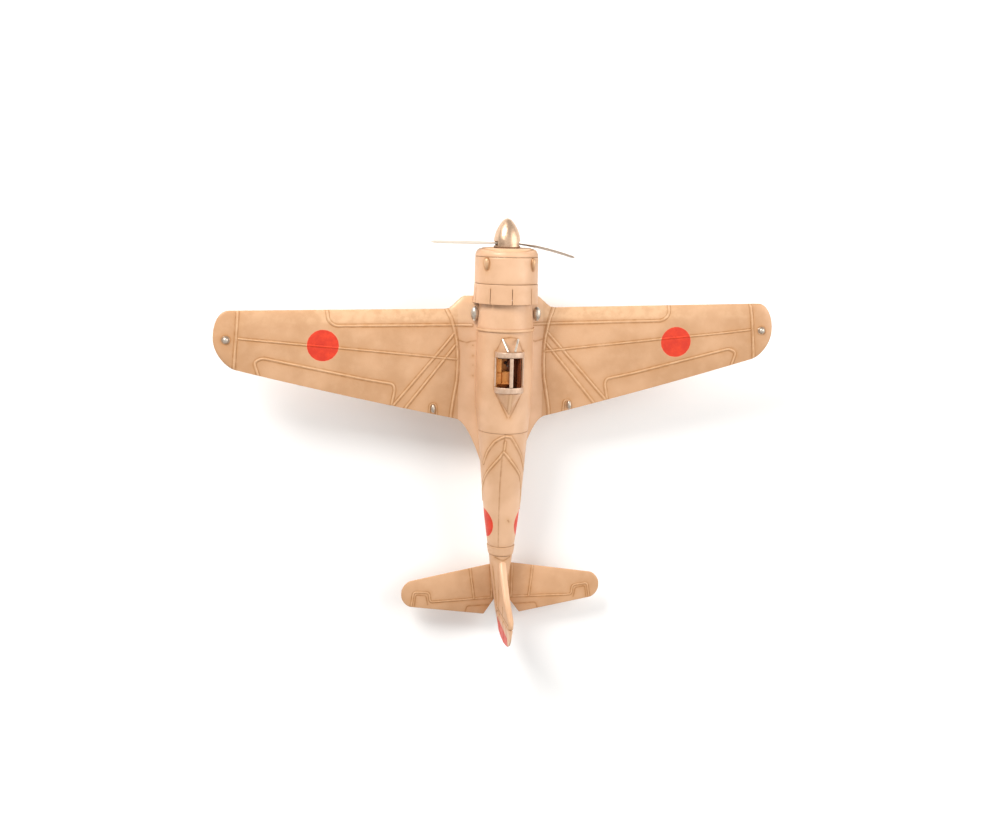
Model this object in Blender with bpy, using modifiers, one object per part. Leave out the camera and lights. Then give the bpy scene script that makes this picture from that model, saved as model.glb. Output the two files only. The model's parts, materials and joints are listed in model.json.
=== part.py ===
"""Sheet-metal propeller plane model, standing on its wheels with the nose up.

Every piece is modelled in the airframe's own axes: X points to the port wing,
Y runs aft from the propeller disc (a "station"), Z is up. One empty turns the
fuselage a little against the wing, another tips the whole airframe to the
angle at which it stands.
"""
import math

import bmesh
import bpy
import numpy as np
from mathutils import Matrix, Vector

# Overall dimensions, metres
HALF_SPAN = 0.2100
GROUND_ANGLE = math.radians(10.0)
DIHEDRAL = math.radians(5.07)
GAP = 0.0003
SHEET = 0.0007
RING_POINTS = 32
FACET_ANGLE = math.radians(35.0)

# The fuselage sits slightly askew to the wing and the stabilizers
ASKEW = math.radians(-1.25)
ASKEW_ABOUT = 0.150
SQUARE_PIECES = ("wing", "spar", "tip_lamp", "root_lamp", "stabilizer", "gear", "wheel", "axle")

# Fuselage: station, half width, half height, height of the centre
FUSELAGE = (
    (0.0400, 0.0194, 0.0200, 0.0000),
    (0.0620, 0.0208, 0.0222, 0.0000),
    (0.0950, 0.0212, 0.0226, 0.0000),
    (0.1200, 0.0209, 0.0222, 0.0002),
    (0.1400, 0.0187, 0.0208, 0.0008),
    (0.1600, 0.0170, 0.0188, 0.0014),
    (0.1770, 0.0158, 0.0168, 0.0020),
    (0.2077, 0.0128, 0.0135, 0.0030),
    (0.2270, 0.0102, 0.0115, 0.0036),
    (0.2345, 0.0090, 0.0106, 0.0038),
    (0.2550, 0.0066, 0.0085, 0.0040),
    (0.2790, 0.0032, 0.0055, 0.0040),
)
REAR_START = 0.1392
SEAM = ((0.1400, 0.1560, 0.1770, 0.2245, 0.2280), (6.0, 12.0, 16.0, 22.0, 22.5))
SEAM_HALF_GAP = 0.8
BAND = (0.0617, 0.0640)
TAIL_BAND = (0.2274, 0.2345)
HINGE_STATION = 0.2790

# Cowling
COWL_RADIUS = 0.0234
NOSE_FRONT = 0.0033
BARREL = (0.0099, 0.0292)
FLAPS = (0.0295, 0.0437)
FLAP_COUNT = 9
FIRST_FLAP_SLOT = math.radians(1.0)
BLISTER_STATION = 0.0142
BLISTER_ANGLES = {"left": math.radians(48.0), "right": math.radians(-45.0)}

# Propeller
BLADE_RADIUS = 0.0528
BLADE_THICKNESS = 0.0010
BLADE_PITCH = math.radians(9.0)
BENT_BLADE_SWEEP = 0.0100
SHAFT_RADIUS = 0.0015

# Cockpit and canopy
COCKPIT = (0.0785, 0.1055)
COCKPIT_HALF_WIDTH = 0.0100
CANOPY_HALF_WIDTH = 0.0108
CANOPY_TOP = 0.0300
CANOPY_FOOT = 0.0203
FRONT_HOOP = (0.0778, 0.0818)
REAR_HOOP = (0.1036, 0.1080)
STRIP = 0.0008
FAIRING_END = 0.1253
WIRE = 0.0006

# Wing
WING_JOINT = 0.0324
WING_HEIGHT = -0.0106
WING_HEIGHT_AT = 0.0300
WING_FOLD = 0.0190
TIP_JOINT = 0.1940
TIP_CORNER_FRONT = 0.1985
TIP_CORNER_REAR = 0.1945
TIP_MIDDLE = 0.0665
AIRFOIL = 0.090
FULL_CHORD = 0.086
EDGE_HALF = 0.00045
FLARE_START = 0.0360
SPAR = (0.0880, 0.0960)
SPAR_REACH = 0.0600
SPAR_HALF = 0.00075

# Tail
STABILIZER_HEIGHT = -0.0030
STABILIZER_ROOTS = {"left": 0.0050, "right": 0.0020}
STABILIZER_TIP = 0.0778
FIN_HALF = 0.0031
FIN_TOP = 0.0535

# Undercarriage
AXLE_STATION = 0.0700
AXLE_HEIGHT = -0.0460
WHEEL_RADIUS = 0.0120
WHEEL_WIDTH = 0.0056
WHEEL_TRACK = 0.0610
AXLE_RADIUS = 0.0010
TAIL_AXLE_STATION = 0.2630
TAIL_WHEEL_RADIUS = 0.0050
TAIL_WHEEL_WIDTH = 0.0030


# ---------------------------------------------------------------- scene and finishes

def clear_scene():
    for thing in list(bpy.data.objects):
        bpy.data.objects.remove(thing, do_unlink=True)


def new_collection(name):
    group = bpy.data.collections.new(name)
    bpy.context.scene.collection.children.link(group)
    return group


def finish(name, colour, metallic, roughness):
    material = bpy.data.materials.new(name)
    material.use_nodes = True
    shader = material.node_tree.nodes["Principled BSDF"]
    shader.inputs["Base Color"].default_value = (*colour, 1.0)
    shader.inputs["Metallic"].default_value = metallic
    shader.inputs["Roughness"].default_value = roughness
    material.diffuse_color = (*colour, 1.0)
    return material


clear_scene()
PARTS = new_collection("propeller_plane_model")
CUTTERS = new_collection("cutters")
CREAM = finish("cream_paint", (0.72, 0.44, 0.24), 0.1, 0.45)
BRONZE = finish("champagne_metal", (0.62, 0.42, 0.28), 0.9, 0.3)
BLADE_METAL = finish("beige_metal", (0.55, 0.44, 0.33), 0.6, 0.45)
SILVER = finish("silver_metal", (0.70, 0.68, 0.66), 0.9, 0.3)
DARK_METAL = finish("dark_metal", (0.10, 0.09, 0.08), 0.6, 0.5)
BROWN = finish("brown_paint", (0.28, 0.12, 0.04), 0.0, 0.6)
RUBBER = finish("black_rubber", (0.03, 0.03, 0.03), 0.0, 0.8)


def new_empty(name, parent=None, location=(0.0, 0.0, 0.0)):
    empty = bpy.data.objects.new(name, None)
    empty.location = location
    empty.parent = parent
    PARTS.objects.link(empty)
    return empty


AIRFRAME = new_empty("airframe_axes")


def place(name, mesh, material, parent=AIRFRAME, smooth=True):
    """Add a piece; without a material it is a cutter."""
    thing = bpy.data.objects.new(name, mesh)
    thing.parent = parent
    if material is None:
        CUTTERS.objects.link(thing)
        thing.hide_render = True
        thing.display_type = "WIRE"
        return thing
    PARTS.objects.link(thing)
    mesh.materials.append(material)
    if smooth:
        mesh.shade_smooth()
        mesh.set_sharp_from_angle(angle=FACET_ANGLE)
    return thing


def cut(thing, cutter, operation="DIFFERENCE"):
    modifier = thing.modifiers.new(cutter.name, "BOOLEAN")
    modifier.operation = operation
    modifier.solver = "EXACT"
    modifier.object = cutter


def solidify(thing, thickness=SHEET):
    modifier = thing.modifiers.new("sheet", "SOLIDIFY")
    modifier.thickness = thickness
    modifier.offset = -1.0
    modifier.use_even_offset = True


# ---------------------------------------------------------------- mesh makers

def mesh_from(name, work):
    mesh = bpy.data.meshes.new(name)
    work.to_mesh(mesh)
    work.free()
    return mesh


def loft(name, rings, closed=True, capped=True):
    """Join rings of points with quads; capped closed rings give a solid."""
    work = bmesh.new()
    rows = [[work.verts.new(point) for point in ring] for ring in rings]
    count = len(rows[0])
    steps = count if closed else count - 1
    for near, far in zip(rows, rows[1:]):
        for step in range(steps):
            nxt = (step + 1) % count
            work.faces.new((near[step], near[nxt], far[nxt], far[step]))
    if capped:
        work.faces.new(rows[0])
        work.faces.new(rows[-1])
        bmesh.ops.recalc_face_normals(work, faces=work.faces)
    return mesh_from(name, work)


def box_mesh(name, size, centre=(0.0, 0.0, 0.0)):
    work = bmesh.new()
    bmesh.ops.create_cube(work, size=1.0)
    bmesh.ops.scale(work, vec=size, verts=work.verts)
    bmesh.ops.translate(work, vec=centre, verts=work.verts)
    return mesh_from(name, work)


def rod_mesh(name, start, end, radius, sides=12):
    """A round rod between two points."""
    start = Vector(start)
    along = Vector(end) - start
    work = bmesh.new()
    turn = along.to_track_quat("Z", "Y").to_matrix().to_4x4()
    bmesh.ops.create_cone(
        work, cap_ends=True, segments=sides, radius1=radius, radius2=radius,
        depth=along.length, matrix=Matrix.Translation(start + along / 2) @ turn)
    return mesh_from(name, work)


def ball_mesh(name, size, centre=(0.0, 0.0, 0.0), turn=Matrix.Identity(4), sides=12):
    """An ellipsoid with the given full sizes, long axis along Y."""
    work = bmesh.new()
    bmesh.ops.create_uvsphere(work, u_segments=sides, v_segments=sides // 2, radius=0.5)
    shape = Matrix.Translation(centre) @ turn @ Matrix.Diagonal((*size, 1.0))
    shape = shape @ Matrix.Rotation(math.pi / 2, 4, "X")
    bmesh.ops.transform(work, matrix=shape, verts=work.verts)
    return mesh_from(name, work)


def turned(name, profile, material, parent=AIRFRAME, axis="forward", steps=RING_POINTS, closed=True):
    """Turn a profile of (radius, height) points; height runs forward or to port."""
    work = bmesh.new()
    row = [work.verts.new((radius, 0.0, height)) for radius, height in profile]
    ends = row + row[:1] if closed else row
    for start, end in zip(ends, ends[1:]):
        work.edges.new((start, end))
    thing = place(name, mesh_from(name, work), material, parent, smooth=False)
    quarter = math.pi / 2
    thing.rotation_euler = {"forward": (quarter, 0.0, 0.0), "port": (0.0, quarter, 0.0)}[axis]
    screw = thing.modifiers.new("turn", "SCREW")
    screw.steps = steps
    screw.render_steps = steps
    screw.use_merge_vertices = True
    screw.merge_threshold = 0.00001
    screw.use_smooth_shade = False
    return thing


def arc_points(centre, radius, first, last, count):
    """Points of an arc in a (radius, height) profile, angles in degrees."""
    angles = np.radians(np.linspace(first, last, count))
    return [(centre[0] + radius * math.cos(a), centre[1] + radius * math.sin(a)) for a in angles]


def apply_modifiers(thing):
    """Swap an object's mesh for its evaluated one, so that it can be cut or joined further."""
    depsgraph = bpy.context.evaluated_depsgraph_get()
    mesh = bpy.data.meshes.new_from_object(thing.evaluated_get(depsgraph))
    thing.modifiers.clear()
    thing.data = mesh


# ---------------------------------------------------------------- fuselage form

def fuselage_size(station):
    table = np.array(FUSELAGE)
    return [float(np.interp(station, table[:, 0], table[:, column])) for column in (1, 2, 3)]


def fuselage_ring(station, offset=0.0, first=0.0, last=None):
    """Points round the fuselage; angles run from the top towards port."""
    half_width, half_height, centre = fuselage_size(station)
    if last is None:
        angles = np.arange(RING_POINTS) * 2 * math.pi / RING_POINTS
    else:
        angles = np.linspace(first, last, RING_POINTS // 2 + 1)
    return [Vector(((half_width + offset) * math.sin(a), station,
                    centre + (half_height + offset) * math.cos(a))) for a in angles]


def stations_between(start, end):
    inner = [row[0] for row in FUSELAGE if start + 0.002 < row[0] < end - 0.002]
    return [start, *inner, end]


def fuselage_cutter():
    stations = stations_between(FUSELAGE[0][0] - 0.006, FUSELAGE[-1][0] + 0.02)
    rings = [fuselage_ring(station, GAP) for station in stations]
    return place("fuselage_clearance", loft("fuselage_clearance", rings), None)


def build_front_fuselage():
    """Barrel from the firewall to behind the cockpit, open for the cockpit and the spar."""
    rings = [fuselage_ring(station) for station in stations_between(0.0440, REAR_START - GAP)]
    body = place("front_fuselage", loft("front_fuselage", rings, capped=False), CREAM)
    solidify(body)
    length = COCKPIT[1] - COCKPIT[0]
    opening = box_mesh("cockpit_opening", (2 * COCKPIT_HALF_WIDTH, length, 0.02),
                       (0.0, sum(COCKPIT) / 2, 0.024))
    cut(body, place("cockpit_opening", opening, None))
    slot_height = wing_height(WING_FOLD)
    slot = box_mesh("spar_slot", (0.06, SPAR[1] - SPAR[0] + 4 * GAP, 2 * SPAR_HALF + 4 * GAP),
                    (0.0, sum(SPAR) / 2, slot_height))
    cut(body, place("spar_slot", slot, None))


def build_fuselage_band():
    """Raised hoop over the top of the fuselage behind the cowl."""
    reach = math.radians(86.0)
    rings = [fuselage_ring(station, GAP + 0.0008, -reach, reach) for station in BAND]
    band = place("fuselage_band", loft("fuselage_band", rings, closed=False, capped=False), CREAM)
    solidify(band, 0.0008)


def build_rear_fuselage():
    """Two half shells; their upper seam wanders to port on its way aft."""
    gap = math.radians(SEAM_HALF_GAP)
    for side in ("left", "right"):
        rings = []
        for station in stations_between(REAR_START, TAIL_BAND[0] - GAP):
            seam = math.radians(np.interp(station, *SEAM))
            first, last = seam + gap, math.pi - gap
            if side == "right":
                first, last = math.pi + gap, 2 * math.pi + seam - gap
            rings.append(fuselage_ring(station, 0.0, first, last))
        name = f"rear_fuselage_{side}"
        solidify(place(name, loft(name, rings, closed=False, capped=False), CREAM))


def build_tail_band_and_cone():
    rings = [fuselage_ring(station, 0.0004) for station in TAIL_BAND]
    solidify(place("tail_band", loft("tail_band", rings, capped=False), CREAM))
    rings = [fuselage_ring(station) for station in stations_between(TAIL_BAND[1] + GAP, HINGE_STATION)]
    cone = place("tail_cone", loft("tail_cone", rings), CREAM)
    hollow_stations = stations_between(TAIL_BAND[1] - 0.01, HINGE_STATION - 0.006)
    hollow = loft("tail_cone_hollow", [fuselage_ring(station, -SHEET) for station in hollow_stations])
    cut(cone, place("tail_cone_hollow", hollow, None))


# ---------------------------------------------------------------- nose

def build_propeller(hub):
    """Two thin blades in one sheet; the starboard blade is bent back at its tip."""
    rings = []
    for place_on_blade in np.linspace(-1.0, 1.0, 19):
        along = abs(place_on_blade)
        x = place_on_blade * BLADE_RADIUS
        chord = 0.0030 + 0.0095 * math.sin(math.pi * min(1.0, 0.16 + 0.80 * along)) ** 0.8
        pitch = math.copysign(BLADE_PITCH * (1.0 - 0.5 * along) * min(1.0, along * 2.5), x)
        sweep = BENT_BLADE_SWEEP * along ** 1.7 if place_on_blade < 0.0 else 0.0
        across = Vector((0.0, math.sin(pitch), math.cos(pitch)))
        normal = Vector((0.0, math.cos(pitch), -math.sin(pitch)))
        ring = []
        for turn in np.arange(8) * math.pi / 4:
            bulge = math.copysign(abs(math.sin(turn)) ** 0.5, math.sin(turn))
            ring.append(Vector((x, sweep, 0.0)) + across * (chord / 2 * math.cos(turn))
                        + normal * (BLADE_THICKNESS / 2 * bulge))
        rings.append(ring)
    blades = place("propeller", loft("propeller", rings), BLADE_METAL, hub)
    bore = rod_mesh("propeller_bore", (0.0, -0.005, 0.0), (0.0, 0.005, 0.0), SHAFT_RADIUS + GAP)
    cut(blades, place("propeller_bore", bore, None, hub))


def build_spinner(hub):
    """Egg-shaped hollow spinner; its back edge is notched for the blades."""
    outer = [(0.0, 0.0181), (0.0026, 0.0176), (0.0052, 0.0160), (0.0074, 0.0134), (0.0091, 0.0100),
             (0.0100, 0.0064), (0.0102, 0.0034), (0.0100, 0.0000), (0.0096, -0.0036)]
    inner = [(0.0088, -0.0036), (0.0091, 0.0006), (0.0093, 0.0064), (0.0068, 0.0126), (0.0, 0.0168)]
    spinner = turned("spinner", outer + inner, BRONZE, hub, steps=20, closed=False)
    notch = box_mesh("blade_notch", (0.03, 0.0054, 0.0122), (0.0, 0.0006, 0.0))
    cut(spinner, place("blade_notch", notch, None, hub))
    plate = [(0.0018, -0.0030), (0.0066, -0.0030), (0.0070, -0.0038), (0.0018, -0.0038)]
    turned("propeller_backplate", plate, BRONZE, hub, steps=16)


def build_shaft(hub):
    shaft = rod_mesh("propeller_shaft", (0.0, -0.0085, 0.0), (0.0, 0.0160, 0.0), SHAFT_RADIUS)
    place("propeller_shaft", shaft, SILVER, hub)
    nut = rod_mesh("propeller_nut", (0.0, -0.0068, 0.0), (0.0, -0.0040, 0.0), 0.0032, sides=6)
    nut = place("propeller_nut", nut, SILVER, hub, smooth=False)
    bore = rod_mesh("nut_bore", (0.0, -0.01, 0.0), (0.0, 0.0, 0.0), SHAFT_RADIUS + GAP)
    cut(nut, place("nut_bore", bore, None, hub))


def build_cowl():
    joint = -BARREL[0] + GAP
    rim = COWL_RADIUS - 0.0002
    lip = arc_points((0.0170, -NOSE_FRONT - 0.0022), 0.0022, 180.0, 15.0, 6)
    shoulder = arc_points((rim - 0.0040, joint), 0.0040, 90.0, 8.0, 5)
    turned("nose_ring", [(rim, joint), (0.0148, joint)] + lip + shoulder, CREAM)
    wall = COWL_RADIUS - SHEET
    turned("cowl_barrel", [(COWL_RADIUS, -BARREL[0]), (COWL_RADIUS, -BARREL[1]), (wall, -BARREL[1]),
                           (wall, -BARREL[0])], CREAM)
    flap_front = COWL_RADIUS + 0.0002
    flap_rear = COWL_RADIUS + 0.0006
    profile = [(flap_front, -FLAPS[0]), (flap_rear, -FLAPS[1]),
               (flap_rear - SHEET, -FLAPS[1]), (flap_front - SHEET, -FLAPS[0])]
    flaps = turned("cowl_flaps", profile, CREAM, steps=4 * FLAP_COUNT)
    slot_start = FLAPS[0] + 0.0030
    slot_length = FLAPS[1] + 0.002 - slot_start
    slots = bmesh.new()
    for number in range(FLAP_COUNT):
        angle = FIRST_FLAP_SLOT + number * 2 * math.pi / FLAP_COUNT
        centre = Vector((0.0, slot_start + slot_length / 2, COWL_RADIUS))
        shape = Matrix.Rotation(-angle, 4, "Y") @ Matrix.Translation(centre)
        shape = shape @ Matrix.Diagonal((0.0005, slot_length, 0.006, 1.0))
        bmesh.ops.create_cube(slots, size=1.0, matrix=shape)
    cut(flaps, place("flap_slots", mesh_from("flap_slots", slots), None))


def build_blisters():
    """Teardrop blisters on the shoulders of the cowl barrel."""
    clearance = rod_mesh("blister_seat", (0.0, 0.005, 0.0), (0.0, 0.03, 0.0), COWL_RADIUS + 0.0004,
                         sides=2 * RING_POINTS)
    clearance = place("blister_seat", clearance, None)
    for side, angle in BLISTER_ANGLES.items():
        turn = Matrix.Rotation(angle, 4, "Y")
        centre = turn @ Vector((0.0, 0.0, COWL_RADIUS))
        centre.y = BLISTER_STATION + 0.0006
        name = f"cowl_blister_{side}"
        blister = place(name, ball_mesh(name, (0.0048, 0.0094, 0.0040), centre, turn), BRONZE)
        cut(blister, clearance)


def build_engine():
    """Crankcase with nine finned cylinders, one casting."""
    profile = [(0.0021, -0.0078), (0.0044, -0.0084), (0.0062, -0.0104), (0.0070, -0.0130),
               (0.0070, -0.0210), (0.0021, -0.0210)]
    engine = turned("engine", profile, DARK_METAL, steps=18)
    apply_modifiers(engine)
    count = 9
    for number in range(count):
        direction = Matrix.Rotation(number * 2 * math.pi / count, 4, "Y")
        cylinder = bmesh.new()
        shape = direction @ Matrix.Translation((0.0, 0.0165, 0.0120))
        bmesh.ops.create_cone(cylinder, cap_ends=True, segments=8, radius1=0.0027, radius2=0.0027,
                              depth=0.0130, matrix=shape)
        name = f"engine_cylinder_{number + 1}"
        cut(engine, place(name, mesh_from(name, cylinder), None), "UNION")


def build_firewall():
    front, rear, radius = 0.0452, 0.0462, 0.0182
    profile = [(0.0, -front), (radius, -front), (radius, -rear), (0.0, -rear)]
    turned("firewall", profile, DARK_METAL, steps=24, closed=False)


def build_exhausts():
    for side, sign in (("left", 1), ("right", -1)):
        name = f"exhaust_{side}"
        centre = (sign * 0.0242, 0.0516, -0.0012)
        pipe = place(name, ball_mesh(name, (0.0060, 0.0105, 0.0060), centre), SILVER)
        outlet = rod_mesh(f"{name}_outlet", (centre[0], centre[1] + 0.0030, centre[2]),
                          (centre[0], centre[1] + 0.0080, centre[2]), 0.0013)
        cut(pipe, place(f"{name}_outlet", outlet, None))


# ---------------------------------------------------------------- cockpit and canopy

def build_cockpit():
    front, rear = COCKPIT[0] - 0.0020, COCKPIT[1] + 0.0020
    floor, top, half = 0.0040, 0.0184, 0.0094
    size = Vector((2 * half, rear - front, top - floor))
    centre = Vector((0.0, (front + rear) / 2, (top + floor) / 2))
    tub = place("cockpit_tub", box_mesh("cockpit_tub", size, centre), BROWN, smooth=False)
    inside = box_mesh("tub_inside", size - Vector((0.0016, 0.0016, 0.0)),
                      centre + Vector((0.0, 0.0, 0.0008)))
    cut(tub, place("tub_inside", inside, None))
    seat = box_mesh("seat", (0.0090, 0.0100, 0.0085), (0.0, 0.0985, 0.0095))
    seat = place("seat", seat, BROWN, smooth=False)
    hollow = box_mesh("seat_hollow", (0.0070, 0.0094, 0.0085), (0.0, 0.0972, 0.0115))
    cut(seat, place("seat_hollow", hollow, None))
    panel = box_mesh("instrument_panel", (0.0164, 0.0008, 0.0080), (0.0, 0.0830, 0.0136))
    place("instrument_panel", panel, DARK_METAL, smooth=False)
    stick = rod_mesh("control_stick", (0.0, 0.0880, 0.0051), (0.0, 0.0895, 0.0135), 0.0005, sides=8)
    place("control_stick", stick, DARK_METAL)


def canopy_arch(half_width, foot, top, count=13):
    """Points of an arch across the cockpit from one foot to the other."""
    angles = np.linspace(0.0, math.pi, count)
    return [(half_width * math.cos(a), foot + (top - foot) * math.sin(a) ** 0.8) for a in angles]


def wire_object(name, points, material, radius=WIRE):
    """A bent wire as a poly curve, turned into a closed mesh."""
    curve = bpy.data.curves.new(name, "CURVE")
    curve.dimensions = "3D"
    curve.bevel_depth = radius
    curve.bevel_resolution = 2
    curve.use_fill_caps = True
    line = curve.splines.new("POLY")
    line.points.add(len(points) - 1)
    for spot, point in zip(line.points, points):
        spot.co = (*point, 1.0)
    source = bpy.data.objects.new(name + "_path", curve)
    PARTS.objects.link(source)
    depsgraph = bpy.context.evaluated_depsgraph_get()
    mesh = bpy.data.meshes.new_from_object(source.evaluated_get(depsgraph))
    bpy.data.objects.remove(source, do_unlink=True)
    work = bmesh.new()
    work.from_mesh(mesh)
    bmesh.ops.remove_doubles(work, verts=work.verts, dist=0.000005)
    bmesh.ops.recalc_face_normals(work, faces=work.faces)
    work.to_mesh(mesh)
    work.free()
    mesh.materials.clear()
    return place(name, mesh, material)


def build_canopy(clearance):
    top = CANOPY_TOP - STRIP / 2
    for label, span in (("front", FRONT_HOOP), ("rear", REAR_HOOP)):
        name = f"canopy_hoop_{label}"
        arch = canopy_arch(CANOPY_HALF_WIDTH, CANOPY_FOOT, CANOPY_TOP)
        rings = [[Vector((-x, station, z)) for x, z in arch] for station in span]
        solidify(place(name, loft(name, rings, closed=False, capped=False), SILVER), STRIP)
    bar_size = (0.0026, REAR_HOOP[0] - FRONT_HOOP[1] - 2 * GAP, STRIP)
    bar = box_mesh("canopy_top_bar", bar_size, (0.0, (REAR_HOOP[0] + FRONT_HOOP[1]) / 2, top))
    place("canopy_top_bar", bar, SILVER)
    for side, sign in (("left", 1), ("right", -1)):
        x = sign * (CANOPY_HALF_WIDTH - STRIP / 2)
        height = CANOPY_FOOT + WIRE
        sill = [(x, FRONT_HOOP[1] + GAP, height), (x, REAR_HOOP[0] - GAP, height)]
        wire_object(f"canopy_sill_{side}", sill, SILVER)
        post = [(sign * 0.0025, FRONT_HOOP[0] - GAP - WIRE, top - 0.0009), (sign * 0.0059, 0.0684, 0.0225)]
        wire_object(f"windscreen_post_{side}", post, SILVER)
    start = REAR_HOOP[1] + GAP
    rings = []
    for station in np.linspace(start, FAIRING_END, 7):
        fade = (FAIRING_END + 0.0004 - station) / (FAIRING_END + 0.0004 - start)
        width = CANOPY_HALF_WIDTH * fade ** 0.8
        crown = 0.0212 + (CANOPY_TOP - 0.0212) * fade ** 0.9
        arch = canopy_arch(width, 0.0120, crown)
        rings.append([Vector((x, station, z)) for x, z in arch])
    fairing = place("canopy_fairing", loft("canopy_fairing", rings), CREAM)
    cut(fairing, clearance)


# ---------------------------------------------------------------- wing

def wing_height(x):
    return WING_HEIGHT + (max(abs(x), WING_FOLD) - WING_HEIGHT_AT) * math.tan(DIHEDRAL)


def leading_edge(x):
    """Straight edge that runs into a forward glove beside the cowl."""
    straight = 0.04855 - (x - 0.0398) * 0.0122
    glove = min(1.0, max(0.0, 0.0408 - x) / 0.0145)
    return straight - 0.0096 * glove * glove * (3.0 - 2.0 * glove)


def trailing_edge(x):
    """Swept edge that flares aft into the root fillet."""
    outward = max(0.0, x - FLARE_START)
    inward = max(0.0, FLARE_START - x)
    return 0.1313 - 0.24 * outward - 0.150 * outward ** 2 + 0.07 * inward + 76.5 * inward ** 2


def airfoil_half(fraction):
    """Half thickness of the wing section as a share of its chord."""
    c = fraction
    rise = 0.2969 * math.sqrt(c) - 0.126 * c
    return 5 * AIRFOIL * (rise - 0.3516 * c ** 2 + 0.2843 * c ** 3 - 0.1036 * c ** 4)


def chord_fractions(count=11):
    """Fractions of the chord, closer together at the leading edge."""
    return [1.0 - math.cos(math.pi / 2 * step / (count - 1)) for step in range(count)]


def skin_ring(x, sign, upper):
    """One rib of a wing skin: outer face there, inner face back."""
    front, rear = leading_edge(x), trailing_edge(x)
    chord = rear - front
    outside, inside = [], []
    for fraction in chord_fractions():
        swell = airfoil_half(fraction) * min(chord, FULL_CHORD)
        depth = EDGE_HALF + swell * (1.1 if upper else 0.8)
        flip = 1.0 if upper else -1.0
        inner = max(depth - SHEET, GAP / 2)
        outside.append(Vector((sign * x, front + fraction * chord, wing_height(x) + flip * depth)))
        inside.append(Vector((sign * x, front + fraction * chord, wing_height(x) + flip * inner)))
    return outside + inside[::-1]


def build_wing_skins():
    spans = [WING_JOINT + GAP, 0.0350, 0.0375, 0.0405, 0.0500, 0.0700, 0.1000, 0.1300, 0.1600, TIP_JOINT]
    for side, sign in (("left", 1), ("right", -1)):
        for face, upper in (("upper", True), ("lower", False)):
            name = f"wing_{side}_{face}_skin"
            place(name, loft(name, [skin_ring(x, sign, upper) for x in spans]), CREAM)


def blade_ring(x, sign, front, rear, height, half, count=7):
    """A closed rib with rounded edges, used for tips and tail surfaces."""
    top = []
    for step in range(count):
        f = 0.5 - 0.5 * math.cos(math.pi * step / (count - 1))
        rise = half * (0.15 + 0.85 * (4 * f * (1 - f)) ** 0.5) * (1.0 - 0.45 * f)
        top.append(Vector((sign * x, front + f * (rear - front), height + rise)))
    below = [Vector((p.x, p.y, 2 * height - p.z)) for p in top]
    return top + below[::-1]


def tip_outline(x):
    """Front and rear edge of the rounded wing tip."""
    edges = []
    for edge, corner in ((leading_edge(x), TIP_CORNER_FRONT), (trailing_edge(x), TIP_CORNER_REAR)):
        past = max(0.0, x - corner) / (HALF_SPAN - corner)
        edges.append(TIP_MIDDLE + (edge - TIP_MIDDLE) * math.sqrt(max(0.0, 1.0 - past ** 2)))
    return edges


def build_wing_tips():
    spans = [TIP_JOINT + GAP, TIP_CORNER_REAR + 0.002, TIP_CORNER_FRONT, 0.2015, 0.2040, 0.2065,
             0.2083, 0.2093, 0.2098]
    for side, sign in (("left", 1), ("right", -1)):
        rings = []
        for x in spans:
            front, rear = tip_outline(x)
            half = 0.0024 * (1.0 - 0.55 * ((x - TIP_JOINT) / (HALF_SPAN - TIP_JOINT)) ** 2)
            rings.append(blade_ring(x, sign, front, rear, wing_height(x), half))
        name = f"wing_tip_{side}"
        place(name, loft(name, rings), CREAM)


def fillet_ring(x, sign, shrink=0.0):
    """Rib of the root fillet; it thickens and climbs towards the fuselage."""
    full_front, full_rear = leading_edge(x), trailing_edge(x)
    front, rear = full_front + 3 * shrink, full_rear - 8 * shrink
    climb = max(0.0, (WING_JOINT - x) / (WING_JOINT - 0.012))
    top, below = [], []
    for fraction in chord_fractions(9):
        y = front + fraction * (rear - front)
        true_fraction = (y - full_front) / (full_rear - full_front)
        swell = airfoil_half(true_fraction) * FULL_CHORD
        crest = math.sin(math.pi * min(1.0, 0.1 + 0.85 * true_fraction)) ** 0.6
        lift = 0.0085 * climb ** 1.6 * crest
        height = wing_height(x) + 0.0060 * max(0.0, true_fraction - 0.6) * climb
        above = max(EDGE_HALF + 1.1 * swell + lift - shrink, 0.0002)
        under = max(EDGE_HALF + 0.8 * swell - shrink, 0.0002)
        top.append(Vector((sign * x, y, height + above)))
        below.append(Vector((sign * x, y, height - under)))
    return top + below[::-1]


def build_fillets(clearance):
    """Hollow sheet fairings from the wing roots to the fuselage, with the forward glove."""
    spans = [0.0105, 0.0150, 0.0190, 0.0215, 0.0240, 0.0270, 0.0300, WING_JOINT]
    flap_room = rod_mesh("flap_clearance", (0.0, FLAPS[0], 0.0), (0.0, FLAPS[1] + GAP, 0.0),
                         COWL_RADIUS + 0.0014, sides=2 * RING_POINTS)
    flap_room = place("flap_clearance", flap_room, None)
    for side, sign in (("left", 1), ("right", -1)):
        name = f"wing_fillet_{side}"
        fillet = place(name, loft(name, [fillet_ring(x, sign) for x in spans]), CREAM)
        inner_spans = [spans[0] - 0.003, *spans[1:-1], WING_JOINT + 0.001]
        hollow = loft(f"{name}_hollow", [fillet_ring(x, sign, SHEET) for x in inner_spans])
        cut(fillet, place(f"{name}_hollow", hollow, None))
        cut(fillet, clearance)
        cut(fillet, flap_room)


def build_spar():
    """Flat strip that carries both wings through the fuselage."""
    rings = []
    for x in (-SPAR_REACH, -WING_JOINT, -WING_FOLD, WING_FOLD, WING_JOINT, SPAR_REACH):
        z = wing_height(x)
        rings.append([Vector((x, SPAR[0], z - SPAR_HALF)), Vector((x, SPAR[1], z - SPAR_HALF)),
                      Vector((x, SPAR[1], z + SPAR_HALF)), Vector((x, SPAR[0], z + SPAR_HALF))])
    place("wing_spar", loft("wing_spar", rings), DARK_METAL, smooth=False)


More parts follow.
